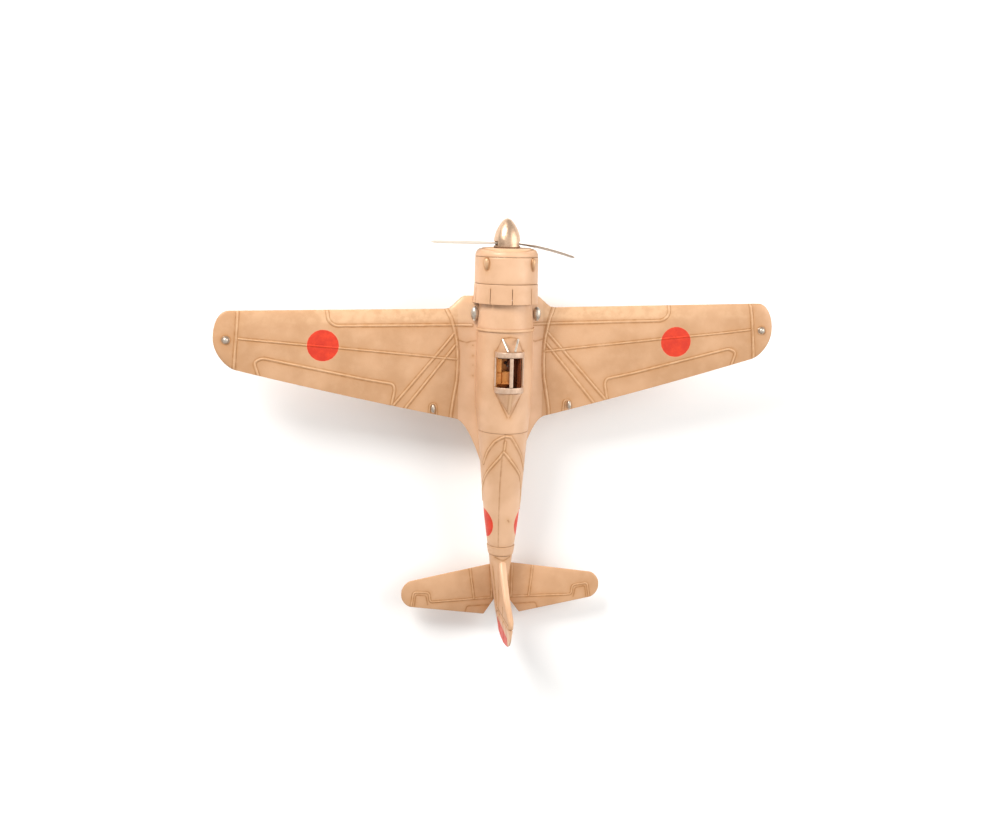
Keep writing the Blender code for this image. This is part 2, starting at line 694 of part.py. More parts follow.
def dome(name, centre, size, material):
    """Upper half of an ellipsoid."""
    work = bmesh.new()
    bmesh.ops.create_uvsphere(work, u_segments=12, v_segments=8, radius=0.5)
    everything = work.verts[:] + work.edges[:] + work.faces[:]
    bmesh.ops.bisect_plane(work, geom=everything, plane_co=(0, 0, 0), plane_no=(0, 0, -1),
                           clear_outer=True)
    bmesh.ops.holes_fill(work, edges=[edge for edge in work.edges if edge.is_boundary])
    shape = Matrix.Translation(centre) @ Matrix.Diagonal((size[0], size[1], 2 * size[2], 1.0))
    bmesh.ops.transform(work, matrix=shape, verts=work.verts)
    bmesh.ops.recalc_face_normals(work, faces=work.faces)
    return place(name, mesh_from(name, work), material)


def build_lamps():
    lamps = (("tip_lamp", 0.2011, 0.0672, 0.0026, (0.0060, 0.0060, 0.0022)),
             ("root_lamp", 0.0517, 0.1225, 0.0020, (0.0034, 0.0066, 0.0016)))
    for side, sign in (("left", 1), ("right", -1)):
        for name, x, station, rise, size in lamps:
            dome(f"{name}_{side}", (sign * x, station, wing_height(x) + rise), size, SILVER)


# ---------------------------------------------------------------- tail surfaces

def build_stabilizers(clearance):
    spans = [0.0060, 0.0090, 0.0140, 0.0300, 0.0500, 0.0680, 0.0715, 0.0740, 0.0762, 0.0774]
    for side, sign in (("left", 1), ("right", -1)):
        rings = []
        for x in [STABILIZER_ROOTS[side], *spans]:
            front = 0.2450 + (x - 0.0090) * 0.171
            rear = 0.2849 - (x - 0.0140) * 0.155
            if x < 0.0140:
                rear = 0.2849 - (0.0140 - x) * 1.4
            if x > 0.0700:
                middle = 0.2660
                keep = math.sqrt(1.0 - ((x - 0.0700) / (STABILIZER_TIP - 0.0700)) ** 2)
                front = middle - (middle - front) * keep
                rear = middle + (rear - middle) * keep
            half = 0.0019 - 0.0010 * x / STABILIZER_TIP
            rings.append(blade_ring(x, sign, front, rear, STABILIZER_HEIGHT, half))
        name = f"stabilizer_{side}"
        cut(place(name, loft(name, rings), CREAM), clearance)


def upright_ring(z, front, rear, half_front, half_rear):
    """A closed rib of the fin or rudder at height z, round at the front."""
    ring = []
    for turn in np.linspace(-90.0, 90.0, 7):
        a = math.radians(turn)
        nose = front + half_front * (1.0 - math.cos(a))
        ring.append(Vector((half_front * math.sin(a), nose, z)))
    ring += [Vector((half_rear, rear, z)), Vector((-half_rear, rear, z))]
    return ring


def build_fin(clearance):
    outline = ((0.0040, 0.2352), (0.0090, 0.2357), (0.0140, 0.2390), (0.0220, 0.2495), (0.0330, 0.2598),
               (0.0430, 0.2662), (0.0485, 0.2696), (0.0518, 0.2722), (FIN_TOP, 0.2755))
    rings = []
    for z, front in outline:
        half = FIN_HALF * (1.0 - 0.27 * z / FIN_TOP)
        rings.append(upright_ring(z, front, HINGE_STATION - 0.0002, half, half * 0.85))
    cut(place("fin", loft("fin", rings), CREAM), clearance)


def build_rudder():
    outline = ((-0.0010, 0.2905), (0.0060, 0.2955), (0.0150, 0.2978), (0.0280, 0.2984), (0.0400, 0.2966),
               (0.0475, 0.2930), (0.0518, 0.2880), (FIN_TOP, 0.2840))
    rings = []
    for z, rear in outline:
        half = FIN_HALF * (0.85 - 0.23 * z / FIN_TOP)
        rings.append(upright_ring(z, HINGE_STATION + 0.0004, rear, half, 0.0005))
    place("rudder", loft("rudder", rings), CREAM)


# ---------------------------------------------------------------- undercarriage

def build_wheel(name, tyre_name, centre, radius, width):
    """A hub with a bore and a rounded tyre, turning about X."""
    axle = new_empty(f"{name}_axis", AIRFRAME, centre)
    half = width / 2
    rim = radius * 0.60 if tyre_name else radius + 0.0002
    bore = AXLE_RADIUS + GAP
    face = [(bore, half), (rim * 0.45, half), (rim * 0.60, half * 0.55), (rim * 0.85, half * 0.55),
            (rim - 0.0002, half * 0.8)]
    back = [(radial, -height) for radial, height in reversed(face)]
    turned(name, face + back, SILVER, axle, axis="port", steps=16)
    if tyre_name:
        inner = rim + 0.0002
        round_part = [(inner + (radius - inner) * math.sin(a) ** 0.7, half * math.cos(a))
                      for a in np.linspace(0.12, math.pi - 0.12, 7)]
        turned(tyre_name, round_part, RUBBER, axle, axis="port", steps=24)


def tail_axle_height():
    """Height that lets the tail wheel touch the ground at the standing angle."""
    run = TAIL_AXLE_STATION - AXLE_STATION
    drop = TAIL_WHEEL_RADIUS - WHEEL_RADIUS
    return AXLE_HEIGHT + (drop + run * math.sin(GROUND_ANGLE)) / math.cos(GROUND_ANGLE)


def build_main_gear():
    for side, sign in (("left", 1), ("right", -1)):
        wheel_x = sign * WHEEL_TRACK
        build_wheel(f"wheel_hub_{side}", f"tyre_{side}", (wheel_x, AXLE_STATION, AXLE_HEIGHT),
                    WHEEL_RADIUS, WHEEL_WIDTH)
        leg_x = wheel_x + sign * (WHEEL_WIDTH / 2 + 0.0028)
        top = Vector((leg_x, AXLE_STATION - 0.0010, wing_height(leg_x) - 0.0048))
        foot = Vector((leg_x, AXLE_STATION, AXLE_HEIGHT))
        name = f"gear_leg_{side}"
        leg = place(name, rod_mesh(name, top, foot - Vector((0.0, 0.0, 0.0020)), 0.0018), SILVER)
        collars = (("flange", 0.0012, 0.0, 0.0042), ("sleeve", 0.0150, 0.0004, 0.0026))
        for label, start, end, radius in collars:
            name = f"gear_{label}_{side}"
            collar = rod_mesh(name, top - Vector((0.0, 0.0, start)), top - Vector((0.0, 0.0, end)), radius,
                              sides=16)
            cut(leg, place(name, collar, None), "UNION")
        reach = Vector((0.0030, 0.0, 0.0))
        socket = rod_mesh(f"axle_socket_{side}", foot - reach, foot + reach, AXLE_RADIUS + GAP)
        cut(leg, place(f"axle_socket_{side}", socket, None))
        inner_end = Vector((wheel_x - sign * (WHEEL_WIDTH / 2 + 0.0008), AXLE_STATION, AXLE_HEIGHT))
        axle = rod_mesh(f"axle_{side}", inner_end, foot + sign * 0.8 * reach, AXLE_RADIUS)
        place(f"axle_{side}", axle, SILVER)


def build_tail_gear():
    height = tail_axle_height()
    centre = Vector((0.0, TAIL_AXLE_STATION, height))
    build_wheel("tail_wheel", None, centre, TAIL_WHEEL_RADIUS, TAIL_WHEEL_WIDTH)
    side_gap = TAIL_WHEEL_WIDTH / 2 + 0.0006
    leg_station = TAIL_AXLE_STATION - 0.0040
    _, half_height, middle = fuselage_size(leg_station)
    leg = rod_mesh("tail_leg", (0.0, leg_station, middle - half_height - 0.0004),
                   (0.0, leg_station + 0.0018, height + 0.0078), 0.0016)
    leg = place("tail_leg", leg, SILVER)
    crown = box_mesh("fork_crown", (2 * side_gap + 0.0020, 0.0030, 0.0014), (0.0, 0.2612, height + 0.0072))
    cut(leg, place("fork_crown", crown, None), "UNION")
    for side, sign in (("left", 1), ("right", -1)):
        x = sign * (side_gap + 0.0005)
        tine = box_mesh(f"fork_tine_{side}", (0.0010, 0.0034, 0.0094), (x, 0.2622, height + 0.0030))
        cut(leg, place(f"fork_tine_{side}", tine, None), "UNION")
    reach = Vector((side_gap + 0.0016, 0.0, 0.0))
    hole = rod_mesh("tail_axle_hole", centre - 2 * reach, centre + 2 * reach, AXLE_RADIUS + GAP)
    cut(leg, place("tail_axle_hole", hole, None))
    place("tail_axle", rod_mesh("tail_axle", centre - reach, centre + reach, AXLE_RADIUS), SILVER)


# ---------------------------------------------------------------- assembly

def set_fuselage_askew():
    """Turn the fuselage and all that it carries about the up axis behind the cockpit."""
    body = new_empty("fuselage_axes")
    body.rotation_euler = (0.0, 0.0, ASKEW)
    body.location = (ASKEW_ABOUT * math.sin(ASKEW), ASKEW_ABOUT * (1.0 - math.cos(ASKEW)), 0.0)
    for thing in [*PARTS.objects, *CUTTERS.objects]:
        if thing.parent == AIRFRAME and not thing.name.startswith(SQUARE_PIECES):
            thing.parent = body
    body.parent = AIRFRAME


def stand_on_ground():
    """Tip the airframe nose up, then put the bottom centre of its box at the origin."""
    AIRFRAME.rotation_euler = (-GROUND_ANGLE, 0.0, 0.0)
    depsgraph = bpy.context.evaluated_depsgraph_get()
    corners = []
    for piece in PARTS.objects:
        if piece.type == "MESH":
            ready = piece.evaluated_get(depsgraph)
            corners += [ready.matrix_world @ vertex.co for vertex in ready.data.vertices]
    low = Vector([min(corner[axis] for corner in corners) for axis in range(3)])
    high = Vector([max(corner[axis] for corner in corners) for axis in range(3)])
    AIRFRAME.location = (-(low.x + high.x) / 2, -(low.y + high.y) / 2, -low.z)


def build():
    clearance = fuselage_cutter()
    hub = new_empty("propeller_axis", AIRFRAME)
    build_spinner(hub)
    build_propeller(hub)
    build_shaft(hub)
    build_cowl()
    build_blisters()
    build_engine()
    build_firewall()
    build_exhausts()
    build_front_fuselage()
    build_fuselage_band()
    build_rear_fuselage()
    build_tail_band_and_cone()
    build_cockpit()
    build_canopy(clearance)
    build_wing_skins()
    build_wing_tips()
    build_fillets(clearance)
    build_spar()
    build_lamps()
    build_stabilizers(clearance)
    build_fin(clearance)
    build_rudder()
    build_main_gear()
    build_tail_gear()
    set_fuselage_askew()
    stand_on_ground()


build()
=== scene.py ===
"""Looks for the pressed-metal propeller plane model.

Shapes are worked out in the airframe's own axes, in millimetres: x to the port
wing, y aft from the propeller disc (a station), z up. place_points() carries
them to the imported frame. Each surface is a fine grid whose beads, grooves and
brown wash come from lines drawn on that surface.
"""
import json
import math

import bmesh
import bpy
import numpy as np
from mathutils import Matrix, Vector


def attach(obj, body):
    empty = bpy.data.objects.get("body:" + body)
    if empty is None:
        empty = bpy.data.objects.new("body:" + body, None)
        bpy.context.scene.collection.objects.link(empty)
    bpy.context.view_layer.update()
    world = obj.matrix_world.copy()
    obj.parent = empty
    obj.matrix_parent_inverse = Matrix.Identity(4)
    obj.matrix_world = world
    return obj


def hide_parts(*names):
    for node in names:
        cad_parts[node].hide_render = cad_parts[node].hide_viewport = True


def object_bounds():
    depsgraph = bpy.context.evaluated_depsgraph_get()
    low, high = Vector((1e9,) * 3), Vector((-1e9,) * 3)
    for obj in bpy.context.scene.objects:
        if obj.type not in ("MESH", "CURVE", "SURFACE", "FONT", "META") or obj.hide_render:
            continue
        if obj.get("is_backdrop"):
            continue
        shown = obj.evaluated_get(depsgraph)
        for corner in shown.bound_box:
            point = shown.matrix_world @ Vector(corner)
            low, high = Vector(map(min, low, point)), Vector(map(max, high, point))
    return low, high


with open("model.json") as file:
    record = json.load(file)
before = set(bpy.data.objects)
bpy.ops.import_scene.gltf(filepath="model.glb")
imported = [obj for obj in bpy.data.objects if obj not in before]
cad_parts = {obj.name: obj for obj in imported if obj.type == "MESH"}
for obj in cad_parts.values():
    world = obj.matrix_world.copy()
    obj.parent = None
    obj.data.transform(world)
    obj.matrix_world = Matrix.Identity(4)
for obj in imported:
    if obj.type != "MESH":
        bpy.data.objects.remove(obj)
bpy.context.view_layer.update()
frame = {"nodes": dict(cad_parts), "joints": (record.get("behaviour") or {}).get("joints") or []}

SCENE = bpy.context.scene

# ---------------------------------------------------------------- airframe axes

JOINTS = {joint["name"]: joint for joint in frame["joints"]}
MM = 0.001


def direction(values):
    return np.array(values, float) / np.linalg.norm(values)


# The main wheels' axle points to port; the propeller's axle lies in the fuselage, which is slightly askew
PORT = direction(JOINTS["wheel_left_roll"]["axis"])
SHAFT = direction(JOINTS["propeller_spin"]["axis"])
ASKEW = math.asin(SHAFT @ PORT)
ASKEW_ABOUT = 150.0
AFT = direction(PORT * (SHAFT @ PORT) - SHAFT)
AXES = np.stack([PORT, AFT, np.cross(PORT, AFT)])


def with_fuselage(points):
    """Turn fuselage points about the up axis behind the cockpit, as the fuselage itself is."""
    points = np.asarray(points, float).reshape(-1, 3)
    x, y = points[:, 0], points[:, 1] - ASKEW_ABOUT
    return np.stack([x * math.cos(ASKEW) - y * math.sin(ASKEW),
                     x * math.sin(ASKEW) + y * math.cos(ASKEW) + ASKEW_ABOUT, points[:, 2]], -1)


ORIGIN = np.array(JOINTS["propeller_spin"]["pos_m"]) - (with_fuselage((0.0, 0.0, 0.0)) @ AXES * MM)[0]


def place_points(points):
    """Airframe millimetres to frame metres."""
    return ORIGIN + np.asarray(points, float).reshape(-1, 3) @ AXES * MM


def joint_at(name):
    """A joint's point in airframe millimetres."""
    return (np.array(JOINTS[name]["pos_m"]) - ORIGIN) @ AXES.T / MM


def smooth(value, low, high):
    t = np.clip((value - low) / (high - low), 0.0, 1.0)
    return t * t * (3.0 - 2.0 * t)


# ---------------------------------------------------------------- forms shared with the CAD model

HALF_SPAN = 210.0
DIHEDRAL = math.tan(math.radians(5.07))
SHEET = 0.7
WING_JOINT = 32.4
TIP_JOINT = 194.0
TIP_CORNERS = (198.5, 194.5)
TIP_MIDDLE = 66.5
COWL_RADIUS = 23.4
HINGE = 279.0

# First and last station of each fuselage piece
BARREL = (9.9, 29.2)
FLAPS = (29.5, 43.7)
FRONT = (44.0, 138.9)
OPENING = (78.5, 105.5)
REAR = (139.2, 227.1)
TAIL_BAND = (227.4, 234.5)
TAIL_CONE = (234.8, 279.0)
HOOP_STATION = 62.85

FUSELAGE = np.array((
    (40.0, 19.4, 20.0, 0.0), (62.0, 20.8, 22.2, 0.0), (95.0, 21.2, 22.6, 0.0), (120.0, 20.9, 22.2, 0.2),
    (140.0, 18.7, 20.8, 0.8), (160.0, 17.0, 18.8, 1.4), (177.0, 15.8, 16.8, 2.0), (207.7, 12.8, 13.5, 3.0),
    (227.0, 10.2, 11.5, 3.6), (234.5, 9.0, 10.6, 3.8), (255.0, 6.6, 8.5, 4.0), (279.0, 3.2, 5.5, 4.0)))
FINE = np.arange(30.0, 290.0, 0.5)
SMOOTH_OVER = np.hanning(19) / np.hanning(19).sum()
FUSELAGE_FINE = [np.convolve(np.pad(np.interp(FINE, FUSELAGE[:, 0], FUSELAGE[:, k]), 9, mode="edge"),
                             SMOOTH_OVER, mode="valid") for k in (1, 2, 3)]


def fuselage_size(station):
    return [np.interp(station, FINE, column) for column in FUSELAGE_FINE]


def fuselage_point(station, angle, offset=0.0):
    """A point of the fuselage skin; angles run from the top towards port."""
    width, height, centre = fuselage_size(station)
    return np.stack([(width + offset) * np.sin(angle), station + 0.0 * angle,
                     centre + (height + offset) * np.cos(angle)], -1)


def wing_height(x):
    return -10.6 + (np.maximum(np.abs(x), 19.0) - 30.0) * DIHEDRAL


def leading_edge(x):
    """Straight edge that curves forward into a glove beside the cowl."""
    return 48.55 - (x - 39.8) * 0.0122 - 9.6 * smooth(40.8 - x, 0.0, 14.5)


def trailing_edge(x):
    """Swept edge that flares aft into the root fillet."""
    outward = np.maximum(x - 36.0, 0.0)
    inward = np.maximum(36.0 - x, 0.0)
    return 131.3 - 0.24 * outward - 0.00015 * outward ** 2 + 0.07 * inward + 0.0765 * inward ** 2


def airfoil(fraction):
    c = np.clip(fraction, 0.0, 1.0)
    return 0.45 * (0.2969 * np.sqrt(c) - 0.126 * c - 0.3516 * c ** 2 + 0.2843 * c ** 3 - 0.1036 * c ** 4)


def wing_face(x, fraction, upper):
    """Height of the wing's upper or lower face, root fillet included."""
    chord = trailing_edge(x) - leading_edge(x)
    climb = np.clip((WING_JOINT - x) / (WING_JOINT - 12.0), 0.0, None)
    swell = airfoil(fraction) * np.minimum(chord, 86.0)
    rise = 6.0 * np.maximum(0.0, fraction - 0.6) * climb
    lift = 8.5 * climb ** 1.6 * np.sin(math.pi * np.minimum(1.0, 0.1 + 0.85 * fraction)) ** 0.6
    if upper:
        return wing_height(x) + rise + 0.45 + 1.1 * swell + lift
    return wing_height(x) + rise - 0.45 - 0.8 * swell


def tip_edges(x):
    """Front and rear edge of the rounded wing tip."""
    edges = []
    for edge, corner in zip((leading_edge(x), trailing_edge(x)), TIP_CORNERS):
        past = np.clip((x - corner) / (HALF_SPAN - corner), 0.0, 1.0)
        edges.append(TIP_MIDDLE + (edge - TIP_MIDDLE) * np.sqrt(1.0 - past ** 2))
    return edges


# ---------------------------------------------------------------- beads, grooves and wash

# Half width and height; grooves have a negative height
BEAD = (1.05, 0.45)
SPAR_BEAD = (0.85, 0.36)
FINE_BEAD = (0.75, 0.30)
GROOVE = (0.40, -0.22)
DOT = (0.55, -0.30)


def rounded(corners, radius=3.0, count=6):
    """A polyline whose inner corners are rounded off."""
    corners = [np.array(c, float) for c in corners]
    points = [corners[0]]
    for before, corner, after in zip(corners, corners[1:], corners[2:]):
        into, out = before - corner, after - corner
        reach = min(radius, 0.45 * np.linalg.norm(into), 0.45 * np.linalg.norm(out))
        start = corner + into / np.linalg.norm(into) * reach
        end = corner + out / np.linalg.norm(out) * reach
        for t in np.linspace(0.0, 1.0, count):
            points.append((1 - t) ** 2 * start + 2 * t * (1 - t) * corner + t * t * end)
    return np.array(points + [corners[-1]])


def ellipse_line(centre, radii, count=25, first=0.0, last=360.0):
    turn = np.radians(np.linspace(first, last, count))
    return np.stack([centre[0] + radii[0] * np.cos(turn), centre[1] + radii[1] * np.sin(turn)], -1)


def line_distance(spots, line, reach):
    """Distance from each spot to a polyline, no more than reach."""
    line = np.atleast_2d(np.asarray(line, float))
    best = np.full(len(spots), reach)
    ends = line[1:] if len(line) > 1 else line
    for a, b in zip(line, ends):
        low, high = np.minimum(a, b) - reach, np.maximum(a, b) + reach
        near = np.flatnonzero(np.all((spots > low) & (spots < high), axis=1))
        if not len(near):
            continue
        along = b - a
        length = max(float(along @ along), 1e-9)
        t = np.clip((spots[near] - a) @ along / length, 0.0, 1.0)
        gap = np.linalg.norm(spots[near] - a - t[:, None] * along, axis=1)
        best[near] = np.minimum(best[near], gap)
    return best


def as_lines(lines):
    return [(np.asarray(line, float), kind) for line, kind in lines]


def emboss(spots, lines):
    """Relief in millimetres, wash strength, painted crest highlight and painted shade for flat spots (N,
    2).
    """
    relief = np.zeros(len(spots))
    wash = np.zeros(len(spots))
    shade_and_grime = np.zeros(len(spots))
    painted_highlight = np.zeros(len(spots))
    for line, (half, height) in lines:
        gap = line_distance(spots, line, 7.0)
        hill = 0.5 + 0.5 * np.cos(math.pi * np.clip(gap / half, 0.0, 1.0))
        if height > 0.0:
            relief = np.maximum(relief, hill * height)
            edge = np.abs(gap - half * 1.12)
            mark = np.exp(-(edge / 0.34) ** 2)
            relief = np.where(gap > half, relief - 0.10 * mark * (relief < 0.02), relief)
            # Bead crests get a painted highlight.
            painted_highlight = np.maximum(painted_highlight, hill)
        else:
            relief = relief + hill * height
            mark = np.exp(-(gap / 0.45) ** 2)
        wash = np.maximum(wash * (1.0 - (height > 0.0) * hill), mark)
        # Painted shade in a wide soft halo beside every line.
        shade_and_grime = np.maximum(shade_and_grime, np.exp(-np.maximum(gap - half, 0.0) / 1.9) * (gap < 7.0))
    return relief, wash, painted_highlight, shade_and_grime


def disc_depth(spots, centre, radius):
    """Two millimetres at the disc's edge, more inside, nothing away from it."""
    gap = np.linalg.norm(spots - np.asarray(centre), axis=1) - radius
    return np.maximum(0.0, 2.0 - gap)


# ---------------------------------------------------------------- meshes

def build(name, solid, look, node, marks=None, body="airframe", sharp=38.0, square=False):
    """Make one piece and tie it to the frame; square ones do not follow the fuselage."""
    points, faces = solid
    material, slot = look
    mesh = bpy.data.meshes.new(name)
    if not square:
        points = with_fuselage(points)
    mesh.from_pydata(place_points(points).tolist(), [], faces)
    mesh.validate()
    mesh.shade_smooth()
    mesh.set_sharp_from_angle(angle=math.radians(sharp))
    for label, values in (marks or {}).items():
        attribute = mesh.attributes.new(label, "FLOAT", "POINT")
        attribute.data.foreach_set("value", np.asarray(values, np.float32))
    mesh.materials.append(material)
    thing = bpy.data.objects.new(name, mesh)
    SCENE.collection.objects.link(thing)
    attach(thing, body)
    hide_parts(node)


def grid_shell(outer, inner, wrap=False, holes=(), step=4):
    """Join a fine outer grid (U, V, 3) and every step-th point of an inner one into one closed sheet.

    Rims and the walls of the holes are closed. Holes are (u0, u1, v0, v1) cells, all multiples of step.
    """
    rows, columns = outer.shape[:2]
    inner = inner[::step, ::step]
    in_columns = inner.shape[1]
    across = columns if wrap else columns - 1
    kept = np.ones((rows - 1, across), bool)
    for u0, u1, v0, v1 in holes:
        kept[u0:u1, v0:v1] = False
    i, j = np.nonzero(kept)
    k = (j + 1) % columns
    faces = np.stack([i * columns + j, i * columns + k, (i + 1) * columns + k, (i + 1) * columns + j],
                     -1).tolist()
    base = rows * columns
    coarse = kept[::step, ::step]
    a, b = np.nonzero(coarse)
    c = (b + 1) % in_columns
    faces += (base + np.stack([a * in_columns + b, (a + 1) * in_columns + b, (a + 1) * in_columns + c,
                               a * in_columns + c], -1)).tolist()

    def solid(row, column):
        if wrap:
            column %= coarse.shape[1]
        return 0 <= row < coarse.shape[0] and 0 <= column < coarse.shape[1] and coarse[row, column]

    def wall(outer_path, inner_path):
        ring = [r * columns + c % columns for r, c in outer_path]
        faces.append(ring[::-1] + [base + r * in_columns + c % in_columns for r, c in inner_path])

    for row, column in zip(a.tolist(), b.tolist()):
        u, v = row * step, column * step
        span = range(step + 1)
        if not solid(row - 1, column):
            wall([(u, v + s) for s in span], [(row, column), (row, column + 1)])
        if not solid(row + 1, column):
            wall([(u + step, v + step - s) for s in span], [(row + 1, column + 1), (row + 1, column)])
        if not solid(row, column - 1):
            wall([(u + step - s, v) for s in span], [(row + 1, column), (row, column)])
        if not solid(row, column + 1):
            wall([(u + s, v + step) for s in span], [(row, column + 1), (row + 1, column + 1)])
    points = np.concatenate([outer.reshape(-1, 3), inner.reshape(-1, 3)])
    return points, faces


def mirrored(points, faces):
    """The same solid on the other side of the airframe."""
    return points * np.array((-1.0, 1.0, 1.0)), flipped(faces)


def drop_unused(points, faces, marks):
    """Leave out points that no face uses."""
    used = np.unique(np.concatenate([np.asarray(face) for face in faces]))
    fresh = np.full(len(points), -1)
    fresh[used] = np.arange(len(used))
    fresh = fresh.tolist()
    kept_marks = {key: values[used] for key, values in marks.items()}
    return points[used], [[fresh[v] for v in face] for face in faces], kept_marks


def merge(*parts):
    points, faces, count = [], [], 0
    for spots, polygons in parts:
        spots = np.asarray(spots, float).reshape(-1, 3)
        points.append(spots)
        faces += [[v + count for v in face] for face in polygons]
        count += len(spots)
    return np.concatenate(points), faces


def basis(axis):
    """Two directions square to an axis."""
    axis = np.asarray(axis, float) / np.linalg.norm(axis)
    helper = np.array((0.0, 0.0, 1.0)) if abs(axis[2]) < 0.9 else np.array((1.0, 0.0, 0.0))
    side = np.cross(helper, axis)
    side /= np.linalg.norm(side)
    return axis, side, np.cross(axis, side)


def tube_faces(rows, columns, capped=True):
    """Faces of a tube of rings of points, with its two ends."""
    ring = np.arange(columns)
    faces = [[r * columns + k, r * columns + n, (r + 1) * columns + n, (r + 1) * columns + k]
             for r in range(rows - 1) for k, n in zip(ring.tolist(), np.roll(ring, -1).tolist())]
    if capped:
        faces += [ring[::-1].tolist(), ((rows - 1) * columns + ring).tolist()]
    return faces


def flipped(faces):
    return [face[::-1] for face in faces]


def lathe(profile, segments, origin=(0, 0, 0), axis=(0, -1, 0), closed=True, shape=None):
    """Turn (radius, height) points round an axis. An open profile runs from axis to axis."""
    profile = np.asarray(profile, float)
    axis, side, other = basis(axis)
    turn = np.arange(segments) * 2 * math.pi / segments
    radius = np.repeat(profile[:, :1], segments, 1)
    height = np.repeat(profile[:, 1:], segments, 1)
    if shape is not None:
        radius, height = shape(radius, height, turn)
    rim = side * np.cos(turn)[:, None] + other * np.sin(turn)[:, None]
    points = np.asarray(origin, float) + radius[..., None] * rim + height[..., None] * axis
    faces = tube_faces(len(profile) + closed, segments, capped=not closed)
    total = len(profile) * segments
    return points.reshape(-1, 3), [[v % total for v in face] for face in faces]


def turned(profile, segments, origin, axis):
    """A solid of revolution whose first and last points lie near the axis."""
    profile = [(max(r, 0.02), h) for r, h in profile]
    return lathe(profile, segments, origin, axis, closed=False)


def sweep(path, across, half_across, half_deep, sides=16, power=1.0, ends=0.35):
    """A rounded bar along a path; across is the direction of its width."""
    path = np.asarray(path, float)
    count = len(path)
    tangent = np.gradient(path, axis=0)
    tangent /= np.linalg.norm(tangent, axis=1)[:, None]
    across = np.broadcast_to(np.asarray(across, float), path.shape)
    across = across - (across * tangent).sum(1)[:, None] * tangent
    across = across / np.linalg.norm(across, axis=1)[:, None]
    deep = np.cross(tangent, across)
    width = np.broadcast_to(half_across, (count,)).astype(float)
    depth = np.broadcast_to(half_deep, (count,)).astype(float)
    cap = min(depth[0], depth[-1]) * ends
    path = np.concatenate([path[:1], path[:1] + tangent[:1] * cap, path[1:-1],
                           path[-1:] - tangent[-1:] * cap,
                           path[-1:]])
    pick = [0, 0, *range(1, count - 1), count - 1, count - 1]
    across, deep, width, depth = across[pick], deep[pick], width[pick].copy(), depth[pick].copy()
    for end in (0, -1):
        width[end] -= cap
        depth[end] -= cap
    turn = np.arange(sides) * 2 * math.pi / sides
    c = np.sign(np.cos(turn)) * np.abs(np.cos(turn)) ** power
    s = np.sign(np.sin(turn)) * np.abs(np.sin(turn)) ** power
    points = path[:, None] + across[:, None] * (width[:, None] * c)[..., None] \
        + deep[:, None] * (depth[:, None] * s)[..., None]
    return points.reshape(-1, 3), tube_faces(len(path), sides)


def bar(start, end, radius, sides=20):
    """A straight round rod."""
    path = np.linspace(start, end, 5)
    return sweep(path, basis(path[-1] - path[0])[1], radius, radius, sides)


def rounded_box(centre, size, bevel=0.3, segments=3):
    work = bmesh.new()
    bmesh.ops.create_cube(work, size=1.0)
    bmesh.ops.scale(work, vec=size, verts=work.verts)
    bmesh.ops.bevel(work, geom=work.edges[:], offset=bevel, segments=segments, profile=0.5, affect="EDGES")
    bmesh.ops.translate(work, vec=centre, verts=work.verts)
    work.verts.index_update()
    points = np.array([v.co for v in work.verts])
    faces = [[v.index for v in face.verts] for face in work.faces]
    work.free()
    return points, faces


def turn_points(points, degrees, axis, centre):
    matrix = np.array(Matrix.Rotation(math.radians(degrees), 3, Vector(axis)))
    centre = np.asarray(centre, float)
    return (points - centre) @ matrix.T + centre


# ---------------------------------------------------------------- materials

